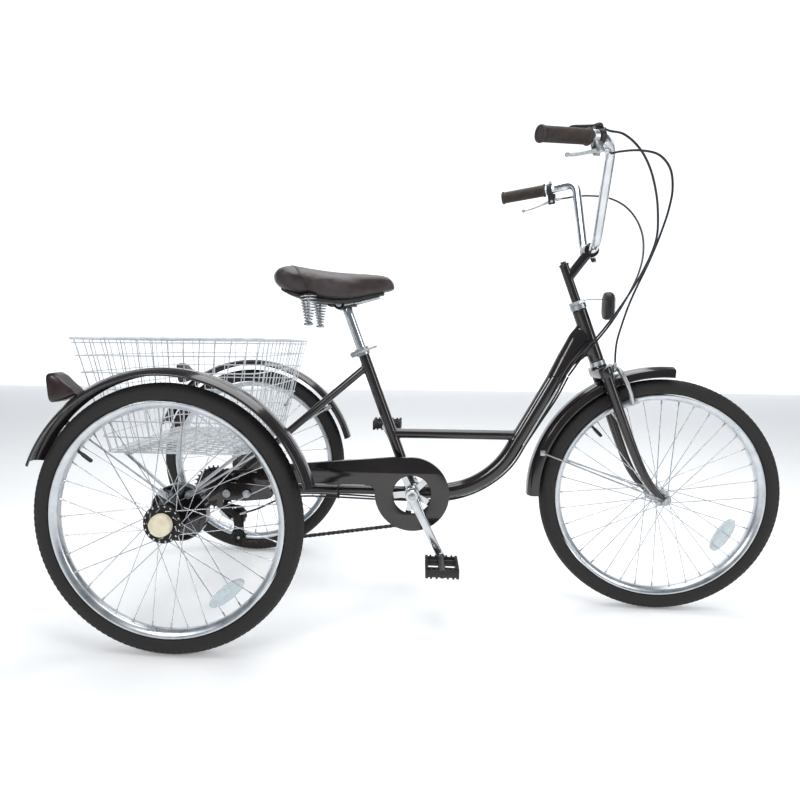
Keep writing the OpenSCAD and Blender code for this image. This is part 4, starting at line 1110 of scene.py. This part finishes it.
def pitch_radius(teeth):
    return PITCH / (2 * math.sin(math.pi / teeth))


loops = [((522, 0), pitch_radius(40), 1), ((66, -130), pitch_radius(10), 1),
         ((62, -70), pitch_radius(10), -1),
         ((0, 0), pitch_radius(20), 1)]


def chain_line():
    def heading(a, b):
        d = np.subtract(b[0], a[0])
        return math.degrees(math.atan2(d[1], d[0])) + math.degrees(math.asin((b[2] * b[1] - a[2] * a[1])
                                                                            / np.linalg.norm(d)))
    line, n = [], len(loops)
    for i in range(n):
        enter, leave = heading(loops[i - 1], loops[i]), heading(loops[i], loops[(i + 1) % n])
        c, r, side = loops[i]
        sweep_by = (enter - leave if side > 0 else leave - enter) % 360
        for s in range(25):
            a = math.radians(enter + side * 90 - side * sweep_by * s / 24)
            line.append((c[0] + r * math.cos(a), c[1] + r * math.sin(a)))
    return np.array(line + [line[0]])


path = chain_line()
run = np.concatenate([[0], np.cumsum(np.linalg.norm(np.diff(path, axis=0), axis=1))])
links = int(round(run[-1] / PITCH / 2) * 2)
s = np.linspace(0, run[-1], links, endpoint=False)
pins = np.column_stack([np.interp(s, run, path[:, 0]), np.interp(s, run, path[:, 1])])
print("chain:", links, "links over", round(run[-1]), "mm")

# %% Chain links
waist = [(4.2 * math.cos(a), 4.2 * math.sin(a)) for a in np.radians(np.arange(60, 301, 40))]
waist += [(PITCH / 2, -3.1)]
waist += [(PITCH + 4.2 * math.cos(a), 4.2 * math.sin(a)) for a in np.radians(np.arange(-120, 121, 40))]
waist += [(PITCH / 2, 3.1)]
waist = np.array(waist)
k = len(waist)
plates, rollers = [], []
for i in range(links):
    a, b = pins[i], pins[(i + 1) % links]
    d = unit(b - a)
    half = 3.4 if i % 2 else 2.2
    for y in (-half, half):
        flat = a + np.outer(waist[:, 0], d) + np.outer(waist[:, 1], [-d[1], d[0]])
        points = [at(p[0], -40 + y + dy, WHEEL_R + p[1]) for dy in (-0.5, 0.5) for p in flat]
        faces = [tuple(range(k)), tuple(range(2 * k - 1, k - 1, -1))]
        faces += [(j, k + j, k + (j + 1) % k, (j + 1) % k) for j in range(k)]
        plates.append((np.array(points), faces))
    rollers.append(rod(at(a[0], -44.2, WHEEL_R + a[1]), at(a[0], -35.8, WHEEL_R + a[1]), 0.0024, 8))
piece("chain_links", merge(plates), oiled_steel, "frame", 40, ["chain"])
piece("chain_rollers", merge(rollers), black_steel, "frame", 40)

# %% Guide wheels
def sprocket_loop(teeth, root, tip):
    p, step = pitch_radius(teeth), 2 * math.pi / teeth
    return [((p + h) / 1000 * math.cos((i + f) * step), (p + h) / 1000 * math.sin((i + f) * step))
            for i in range(teeth) for f, h in ((0, -root), (0.28, -root * 0.75), (0.42, tip), (0.58, tip),
                                               (0.72, -root * 0.75))]


for name, (x, z) in (("upper", (62, 228)), ("lower", (66, 168))):
    c = at(x, -40, z)
    holes = [[((10.5 * math.cos(a) + 2.2 * math.cos(b)) / 1000,
               (10.5 * math.sin(a) + 2.2 * math.sin(b)) / 1000)
              for b in np.linspace(0, 2 * math.pi, 12, endpoint=False)] for a in np.radians(range(0, 360,
                                                                                                  72))]
    disc = placed(stamped([sprocket_loop(10, 4.2, 1.6)] + holes, 0.0022, 0.0003), c, *axes)
    hub = turn(np.array([(3.1, -4), (5.6, -4), (6, -3.6), (6, 3.6), (5.6, 4), (3.1, 4)]) / 1000, c, steps=24)
    piece(f"guide_wheel_{name}", merge([disc, hub]), moulded_black, f"jockey_{name}", 35,
          [f"jockey_{name}"])

# %% Derailleur details
details = [hexagon(at(62, -49, 228), (0, -1, 0), 0.0042, 0.003),
           hexagon(at(66, -49, 168), (0, -1, 0), 0.0042, 0.003),
           hexagon(at(24, -61, 258), (0, -1, 0), 0.0062, 0.004, 0.0085)]
link_a = sweep([at(30, -57, 262), at(58, -57, 236)], rounded_square(0.0055, 0.0045), (0, 1, 0))
link_b = sweep([at(22, -57, 250), at(50, -57, 222)], rounded_square(0.0040, 0.0035), (0, 1, 0))
coil = [at(62, -50 - 0.4 * k / 12, 228) + np.array([0.0098 * math.cos(k * math.pi / 6), 0,
                                                    0.0098 * math.sin(k * math.pi / 6)]) for k in range(48)]
piece("derailleur_bolts", merge(details), zinc, "frame", 30)
piece("derailleur_links", merge([link_a, link_b]), black_steel, "frame", 35)
piece("derailleur_spring", sweep(coil, circle(0.0009, 8), (0, 1, 0)), zinc, "frame")

# %% [markdown]
# The cranks are forged aluminium, wide at the boss and slim at the pedal, with a shallow
# groove. The pedals are moulded nylon cages with toothed treads and open windows.

# %% Cranks
CRANK_ANGLE, CRANK_LENGTH, PEDAL_OUT = math.radians(-64), 0.170, 0.142


def pedal_at(side):
    way = np.array([math.cos(CRANK_ANGLE), 0, math.sin(CRANK_ANGLE)])
    return crank_axis + np.array([0, side * PEDAL_OUT, 0]) - side * CRANK_LENGTH * way


for name, side in (("right", -1), ("left", 1)):
    tip = pedal_at(side) - crank_axis - [0, side * PEDAL_OUT, 0]
    way, across = unit(tip), np.cross(unit(tip), [0, 1, 0])
    line = [crank_axis + [0, side * y / 1000, 0] + d / 170 * tip for d, y in
            ((-4, 72), (10, 72.5), (30, 74), (60, 76), (110, 76.5), (150, 76), (166, 76), (174, 76))]
    wide = [15, 14.5, 12.5, 10.8, 9.6, 9.4, 10.6, 9.5]
    thick = [7.2, 7.2, 6.8, 6.2, 5.6, 5.6, 6.6, 6.2]
    arm = sweep(flowing(line, 5), rounded_square(1, 1, 3.2, 28), (0, 1, 0),
                scale=np.column_stack([np.interp(np.linspace(0, 7, 36), range(8), thick),
                                       np.interp(np.linspace(0, 7, 36), range(8), wide)]) / 1000)
    boss = turn(np.array([(6, side * 64.2), (15.6, side * 64.2), (16.4, side * 65.5), (16.4, side * 78),
                          (15.2, side * 79.4), (6, side * 79.4)]) / 1000, crank_axis, steps=48)
    eye = turn(np.array([(0, side * 68.8), (10.4, side * 68.8), (11.2, side * 69.8), (11.2, side * 82.4),
                         (10.4, side * 83.4), (0, side * 83.4)]) / 1000, crank_axis + tip, steps=40)
    axle = turn(np.array([(0, side * 83), (7, side * 83), (7, side * 86), (5.1, side * 87),
                          (5.0, side * 186.4),
                          (0, side * 186.6)]) / 1000, crank_axis + tip, steps=24)
    cap = turn(np.array([(0, side * 81.6), (8, side * 81.4), (9.2, side * 80.8), (9.6, side * 79),
                         (0, side * 79)])
               / 1000, crank_axis, steps=32)
    piece(f"crank_{name}_forged", merge([arm, boss, eye]), polished_alloy, "crankset", 40,
          [f"crank_{name}"])
    piece(f"crank_{name}_axle_end", merge([axle, cap]), zinc, "crankset", 35)

# %% Pedals
def pedal_shape(c):
    parts = [turn(np.array([(5.1, -46), (9.4, -46), (10.4, -45), (9.2, -30), (8.8, 0), (9.2, 30), (10.4, 45),
                            (9.4, 46), (5.1, 46)]) / 1000, c, steps=32)]
    for x in (-1, 1):
        parts.append(block((0.0062, 0.088, 0.016), c + [x * 0.0355, 0, 0], 0.0018))
        for y in np.linspace(-40, 40, 9):
            parts.append(block((0.0070, 0.0046, 0.0255), c + [x * 0.0362, y / 1000, 0], 0.0012))
        for y in (-22, 22):
            parts.append(block((0.030, 0.0050, 0.014), c + [x * 0.021, y / 1000, 0], 0.0012))
    for y in (-43.4, 43.4):
        parts.append(block((0.078, 0.0048, 0.017), c + [0, y / 1000, 0], 0.0016))
        for x in (-26, -13, 13, 26):
            parts.append(block((0.005, 0.0050, 0.0245), c + [x / 1000, y / 1000, 0], 0.0012))
    return merge(parts)


for name, side in (("right", -1), ("left", 1)):
    c = pedal_at(side)
    piece(f"pedal_{name}_cage", pedal_shape(c), moulded_black, f"pedal_{name}", 35,
          [f"pedal_{name}"])
    dust = turn(np.array([(0, side * 46.6), (6, side * 46.4), (7.2, side * 45.6), (7.2, side * 44),
                          (0, side * 44)])
                / 1000, c, steps=24)
    piece(f"pedal_{name}_dust_cap", dust, moulded_black, f"pedal_{name}", 35)

# %% [markdown]
# The saddle is broad at the back and narrow at the nose, with deep skirts. Its padding is
# made as real upholstery: a closed form a little too small is remeshed and blown up as
# cloth, so the vinyl swells between its seams. Seams and springs are added after that.

# %% Saddle form
def saddle_sections():
    #        x     z_top  z_low  half   crown
    table = [(169, 850.0, 836.0, 62.0), (175, 858.0, 829.0, 84.0), (186, 867.0, 820.0, 103.0),
             (202, 872.5, 811.0, 111.0), (222, 871.0, 803.5, 112.0), (246, 866.5, 798.0, 108.0),
             (272, 862.5, 794.5, 98.0), (300, 859.5, 791.5, 82.0), (328, 857.5, 790.5, 64.0),
             (356, 856.0, 792.5, 49.0), (386, 855.0, 799.0, 39.0), (416, 854.5, 807.0, 33.0),
             (440, 854.0, 812.0, 29.5), (454, 851.0, 814.5, 26.5), (464, 843.0, 816.0, 22.0),
             (471, 833.0, 818.0, 14.0)]
    sections = []
    for x, top, low, half in table:
        mid, up, down = (top + low) / 2 + 4, (top - low) / 2 - 4, (top - low) / 2 + 4
        outline = []
        for t in np.linspace(0, 2 * math.pi, 48, endpoint=False):
            c, s = math.cos(t), math.sin(t)
            y = half * math.copysign(abs(c) ** (0.62 if s > 0 else 0.35), c)
            z = (up if s > 0 else down) * math.copysign(abs(s) ** (0.8 if s > 0 else 0.45), s)
            outline.append((y * (1.0 if s > 0 else 0.96), z))
        sections.append((at(x, 0, mid), np.array([0, 0.001, 0]), np.array([0, 0, 0.001]), np.array(outline)))
    return sections


def settle(obj, cap, pinned, pressure=4.0, voxel=0.005):
    """Remesh, inflate as cloth, keep each point within cap of where it was, and subdivide."""
    remesh = obj.modifiers.new("remesh", "REMESH")
    remesh.mode, remesh.voxel_size = "VOXEL", voxel
    before = obj.evaluated_get(bpy.context.evaluated_depsgraph_get()).to_mesh()
    start = np.array([v.co[:] for v in before.vertices])
    faces = [tuple(f.vertices) for f in before.polygons]
    obj.modifiers.clear()
    mesh = bpy.data.meshes.new(obj.name + "_padded")
    mesh.from_pydata(start.tolist(), [], faces)
    obj.data = mesh
    held = obj.vertex_groups.new(name="held")
    held.add([i for i, p in enumerate(start) if pinned(p)], 1.0, "REPLACE")
    cloth = obj.modifiers.new("cloth", "CLOTH")
    cloth.settings.use_pressure = True
    cloth.settings.uniform_pressure_force = pressure
    cloth.settings.effector_weights.gravity = 0
    cloth.settings.vertex_group_mass = "held"
    cloth.settings.quality = 6
    cloth.point_cache.frame_start, cloth.point_cache.frame_end = 1, 20
    for f in range(1, 21):
        bpy.context.scene.frame_set(f)
    blown = obj.evaluated_get(bpy.context.evaluated_depsgraph_get()).to_mesh()
    moved = np.array([v.co[:] for v in blown.vertices]) - start
    far = np.linalg.norm(moved, axis=1)
    print(obj.name, "swells up to", round(1000 * far.max(), 1), "mm before the cap")
    moved *= np.minimum(1, cap / np.maximum(far, 1e-9))[:, None]
    obj.modifiers.clear()
    for v, p in zip(obj.data.vertices, start + moved):
        v.co = p
    bpy.context.scene.frame_set(1)
    smooth = obj.modifiers.new("smooth", "SMOOTH")
    smooth.factor, smooth.iterations = 0.5, 6
    finer = obj.modifiers.new("finer", "SUBSURF")
    finer.levels = finer.render_levels = 1
    done = obj.evaluated_get(bpy.context.evaluated_depsgraph_get()).to_mesh()
    shape = (np.array([v.co[:] for v in done.vertices]), [tuple(f.vertices) for f in done.polygons])
    bpy.data.objects.remove(obj)
    return shape


seed = loft(saddle_sections())
mesh = bpy.data.meshes.new("saddle_seed")
mesh.from_pydata(seed[0].tolist(), [], seed[1])
saddle_seed = bpy.data.objects.new("saddle_seed", mesh)
bpy.context.scene.collection.objects.link(saddle_seed)
cushion_shape = settle(saddle_seed, 0.005, lambda p: p[2] < 0.815)
cushion = piece("saddle_cushion", cushion_shape, vinyl, "seat", 70, ["saddle_cover"])
print("saddle from", cushion_shape[0].min(0).round(4), "to", cushion_shape[0].max(0).round(4))

# %% Saddle seams
# A seam runs over each rear flank, from the tail down to the skirt, with a line of stitches.
skin = BVHTree.FromPolygons(cushion_shape[0].tolist(), cushion_shape[1])


def on_cushion(x, angle, lift):
    """The cushion's surface at x, seen at an angle from straight up, raised by lift."""
    a = math.radians(angle)
    out = Vector((0, math.sin(a), math.cos(a)))
    spine = Vector(at(x, 0, 828))
    hit, normal, _, _ = skin.ray_cast(spine + out * 0.3, -out)
    return np.array(hit + normal * lift if hit else spine)


def seam_line(side, lift):
    pairs = [(190, 4), (196, 22), (208, 42), (224, 58), (240, 74), (254, 88), (264, 100), (270, 112)]
    x = np.interp(np.linspace(0, 7, 50), range(8), [p[0] for p in pairs])
    a = np.interp(np.linspace(0, 7, 50), range(8), [p[1] for p in pairs])
    return np.array([on_cushion(u, side * v, lift) for u, v in zip(x, a)])


welts, stitches = [], []
for side in (-1, 1):
    line = seam_line(side, 0.0003)
    welts.append(sweep(line, circle(0.0013, 8), (1, 0, 0)))
    thread = seam_line(side, 0.0005) + [0.0045, 0, 0]
    for i in range(1, 48, 2):
        stitches.append(sweep([thread[i], thread[i + 1]], circle(0.00045, 6), (1, 0, 0)))
piece("saddle_seams", merge(welts), seam_vinyl, "seat", 70)
piece("saddle_stitches", merge(stitches), seam_vinyl, "seat", 70)

# %% Saddle base, rails and springs
base = []
for x, half, z in ((192, 74, 816), (214, 92, 805), (240, 95, 797), (266, 88, 792), (294, 72, 788),
                   (322, 54, 786),
                   (352, 38, 789), (384, 27, 796), (414, 20, 804), (444, 15, 811)):
    base.append((at(x, 0, z), np.array([0, 0.001, 0]), np.array([0, 0, 0.001]), rounded_square(half, 5.5, 5)))
yoke = block((0.074, 0.042, 0.016), at(336, 0, 784), 0.004)
piece("saddle_base_pan", merge([loft(base), yoke]), moulded_black, "seat",
      40)
rail_clamp = at(330, 0, 781)
rails, hardware, plates = [], [], []
for side in (-1, 1):
    rails.append(sweep(flowing([at(432, side * 9, 800), at(400, side * 13, 792), at(366, side * 18, 784),
                                at(334, side * 21, 780), at(316, side * 36, 786), at(298, side * 58, 792)],
                               6),
                       circle(0.0035, 12)))
    rails.append(rod(at(262, side * 82, 725), at(262, side * 82, 796), 0.0035, 12))
    coil, turns = [], 9.0
    for k in range(int(turns * 20) + 1):
        t = k / (turns * 20)
        r = 0.0075 + (0.0205 - 0.0075) * t
        a = 2 * math.pi * turns * t
        coil.append(at(262, side * 82, 732 + 66 * t) + np.array([r * math.cos(a), r * math.sin(a), 0]))
    hardware.append(sweep(coil, circle(0.0021, 8), (0, 0, 1)))
    plates.append(turn(np.array([(0, 801), (22, 801), (23, 799), (22, 797), (0, 797)]) / 1000,
                       at(262, side * 82, 0), (0, 0, 1), steps=40))
    hardware.append(turn(np.array([(0, 731), (9.5, 731), (12, 729), (12, 726), (8, 724.5),
                                   (0, 724.5)]) / 1000,
                         at(262, side * 82, 0), (0, 0, 1), steps=32))
piece("saddle_springs_coiled", merge(hardware), zinc, "seat", 45, ["saddle_springs"])
clamp_body = turn(np.array([(0, -27), (12.5, -27), (13.5, -26), (13.5, 26), (12.5, 27), (0, 27)]) / 1000,
                  rail_clamp,
                  steps=40)
nuts = [turn(np.array([(0, y * 32), (5.4, y * 31.6), (7, y * 30), (7.2, y * 27), (0, y * 27)]) / 1000,
             rail_clamp, steps=24)
        for y in (-1, 1)]
piece("saddle_clamp_body", merge([clamp_body] + plates), black_steel, "seat", 35)
piece("saddle_rails", merge(rails + nuts), zinc, "seat", 35, ["saddle_frame"])
post_head = turn(np.array([(0, 96), (13.0, 96), (13.0, 124), (12.0, 126), (0, 126)]) / 1000, on_seat(388),
                 seat_dir,
                 (0, 1, 0), steps=40)
piece("seatpost_head", post_head, chrome, "seat", 40)

# %% [markdown]
# Three cables arc forward from the levers: the shifter's and the far brake's run on down
# the frame, and the near brake's ends at the caliper. They are held all the way, so they
# follow the same points as the solids. The stretch that crosses the steering is fixed in place on no body.

# %% Cables
gear_steered = [(936, -190, 1136), (966, -194, 1126), (1000, -190, 1098), (1028, -178, 1060),
                (1048, -165, 1012),
                (1060, -150, 968), (1066, -135, 926), (1062, -120, 890), (1052, -106, 856), (1038, -92, 820),
                (1016, -76, 776), (990, -58, 730), (962, -42, 688), (932, -32, 652), (904, -28, 606)]
rear_steered = [(944, 182, 1092), (966, 176, 1094), (1000, 162, 1092), (1042, 138, 1080), (1078, 112, 1052),
                (1100, 84, 1010), (1106, 52, 960), (1096, 18, 908), (1076, -14, 862), (1050, -42, 818),
                (1024, -54, 774), (1000, -46, 730), (972, -34, 688), (942, -25, 648), (912, -20, 602)]
front_cable = [(944, -182, 1092), (966, -181, 1096), (1004, -179, 1098), (1046, -174, 1090),
               (1074, -168, 1062),
               (1086, -156, 1022), (1086, -142, 982), (1080, -128, 942), (1072, -114, 904), (1062, -98, 864),
               (1048, -82, 820), (1036, -66, 776), (1028, -50, 732), (1022, -38, 692), (1021, -33, 660),
               (1022, -31, 635)]
gear_fixed = [(904, -28, 604), (882, -19, 552), (846, -8, 482), (818, -5, 430), (782, -5, 368),
              (732, -5, 320),
              (670, -5, 286), (600, -5, 269), (522, -5, 268), (428, -10, 270), (325, -14, 274),
              (230, -14, 274),
              (170, -24, 266), (120, -50, 248), (76, -62, 236)]
rear_fixed = [(912, -20, 600), (888, -10, 546), (850, 3, 478), (820, 5, 428), (784, 5, 366), (734, 5, 318),
              (672, 5, 284), (600, 5, 269), (522, 5, 268), (428, 6, 272), (325, 14, 274), (230, 16, 274),
              (170, 30, 266), (110, 70, 262), (60, 130, 268), (30, 200, 272), (20, 236, 272)]


SHEATH_R = 0.0024


def cable_shape(route):
    return sweep(flowing([at(*p) for p in route], 8), circle(SHEATH_R, 12), (0.1, 1, 0.1))


steered = piece("cables_steered", merge([cable_shape(gear_steered), cable_shape(rear_steered)]), sheath, None,
                60)
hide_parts("steering_cables")
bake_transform(steered)
piece("cable_front_brake", cable_shape(front_cable), sheath, "steering", 60)
piece("cables_on_frame", merge([cable_shape(gear_fixed), cable_shape(rear_fixed)]), sheath, "frame",
      60, ["frame_cables"])

# %% [markdown]
# Each sheath leaves its lever or shifter through a plated cap. The solids begin a little in
# front of it, so a short lead on the steering joins the cap to the first point of the route.

# %% Sheath ends in the levers and the shifter
def lead(side, start, ahead, route):
    a, b = on_lever(side, *start), on_lever(side, *ahead)
    c, d = at(*route[0]), at(*route[1])
    return sweep(flowing([a, b, c, c + 0.25 * (d - c)], 8), circle(SHEATH_R, 12), (0.1, 1, 0.1))


leads = [lead(-1, (-24, 0, 30), (-31, 0, 30), front_cable), lead(1, (-24, 0, 30), (-31, 0, 30), rear_steered),
         lead(-1, (-27, 0, -22), (-34, 0, -22), gear_steered)]
piece("cable_leads", merge(leads), sheath, "steering", 60)

# %% Cable ends and ties
def ferrule(a, b, r=0.0031, length=0.014):
    a, b = at(*a), at(*b)
    d = unit(b - a)
    return sweep([a - d * 0.002, a, a + d * length, a + d * (length + 0.002)], circle(r, 12),
                 scale=[0.8, 1, 1, 0.85])


def sheath_cap(side, a, b, r=0.0033):
    a, b = on_lever(side, *a), on_lever(side, *b)
    return sweep([a, a + 0.05 * (b - a), a + 0.9 * (b - a), b], circle(r, 16), scale=[0.85, 1, 1, 0.85])


ends = [sheath_cap(-1, (-24, 0, 30), (-35, 0, 30)), sheath_cap(1, (-24, 0, 30), (-35, 0, 30)),
        sheath_cap(-1, (-26, 0, -22), (-37, 0, -22))]
piece("cable_ferrules", merge(ends), zinc, "steering", 40)
fixed_ends = [ferrule(gear_fixed[-1], gear_fixed[-2]), ferrule(rear_fixed[-1], rear_fixed[-2])]
piece("cable_ferrules_frame", merge(fixed_ends), zinc, "frame", 40)
bands = []
for x, z in ((600, 269), (428, 271), (325, 274)):
    a = at(x, 0, 292 if x < 560 else 293)
    r = 0.0135 if x < 560 else 0.0215
    loop = [a + [0.0, 0,
                 0] + np.array([0, (r + 0.0012) * math.sin(t), (r + (0.012 if math.cos(t) < 0 else 0.0008)
                                        * abs(math.cos(t))) * math.cos(t)])
            for t in np.linspace(0, 2 * math.pi, 40, endpoint=False)]
    bands.append(sweep(loop, [(-0.0018, -0.0005), (0.0018, -0.0005), (0.0018, 0.0005), (-0.0018, 0.0005)],
                       (1, 0, 0),
                       closed=True))
piece("cable_bands", merge(bands), moulded_black, "frame", 40)

# %% [markdown]
# The set is a pale floor under broad soft light, with strip lights placed so that long
# reflections run along the tubes, which is what makes black enamel read as gloss.

# %% Camera
yaw, pitch, roll = 0.07166, 0.08426, 0.00627
back = Vector((math.sin(yaw) * math.cos(pitch), -math.cos(yaw) * math.cos(pitch), math.sin(pitch)))
right = (-back).cross(Vector((0, 0, 1))).normalized()
up = right.cross(-back)
right2 = math.cos(roll) * right + math.sin(roll) * up
up2 = -math.sin(roll) * right + math.cos(roll) * up
camera = bpy.data.objects.new("camera", bpy.data.cameras.new("camera"))
camera.data.sensor_width = 36.0
camera.data.lens = 24.915
camera.data.shift_x = 0.0256
camera.data.shift_y = -0.0102
camera.data.clip_start = 0.05
camera.matrix_world = Matrix(((right2.x, up2.x, back.x, -0.03316), (right2.y, up2.y, back.y, -1.4457),
                              (right2.z, up2.z, back.z, 0.67728), (0, 0, 0, 1)))
bpy.context.scene.collection.objects.link(camera)
bpy.context.scene.camera = camera
print("camera at", [round(v, 4) for v in camera.location])

# %% Floor and light
floor_mesh = bpy.data.meshes.new("floor")
floor_mesh.from_pydata([(-9, -6, -0.0005), (9, -6, -0.0005), (9, 7, -0.0005), (-9, 7, -0.0005)], [],
                       [(0, 1, 2, 3)])
floor = bpy.data.objects.new("floor", floor_mesh)
floor_mesh.materials.append(finish("pale_studio_floor", "#fbfbfb", "#f7f7f7", cloud=900, gloss=0.75, grain=6,
                                   relief=0.02, **{"Emission Color": (0.97, 0.985, 1.0, 1),
                                                   "Emission Strength": 0.14}))
bpy.context.scene.collection.objects.link(floor)
world = bpy.data.worlds.new("studio")
bpy.context.scene.world = world
world.use_nodes = True
world.node_tree.nodes["Background"].inputs["Color"].default_value = (0.80, 0.90, 1.0, 1)
world.node_tree.nodes["Background"].inputs["Strength"].default_value = 0.22

backdrop_mesh = bpy.data.meshes.new("backdrop")
backdrop_mesh.from_pydata([(-14, 7, -0.4), (14, 7, -0.4), (14, 7, 9), (-14, 7, 9)], [], [(0, 1, 2, 3)])
backdrop = bpy.data.objects.new("backdrop", backdrop_mesh)
backdrop_mesh.materials.append(finish("lit_paper_backdrop", "#f6f8fa", "#f1f4f7", cloud=900, gloss=0.9,
                                      grain=8,
                                      **{"Emission Color": (0.97, 0.985, 1.0, 1), "Emission Strength": 0.8}))
bpy.context.scene.collection.objects.link(backdrop)


def soft_light(name, spot, target, size, power, tint="#ffffff"):
    data = bpy.data.lights.new(name, "AREA")
    data.shape, data.size, data.size_y, data.energy = "RECTANGLE", size[0], size[1], power
    data.color = srgb(tint)[:3]
    lamp = bpy.data.objects.new(name, data)
    lamp.location = spot
    lamp.rotation_euler = (Vector(target) - Vector(spot)).to_track_quat("-Z", "Y").to_euler()
    bpy.context.scene.collection.objects.link(lamp)


soft_light("overhead", (0.2, 0.1, 3.2), (0, 0.1, 0.3), (3.6, 2.2), 95)
soft_light("front_strip", (-1.8, -2.6, 2.0), (0, 0, 0.4), (0.9, 1.2), 30)
soft_light("side_strip", (2.6, -1.6, 1.4), (0.2, 0, 0.5), (0.8, 1.6), 18)
bpy.context.scene.view_settings.view_transform = "Standard"
print("floor and lights ready")
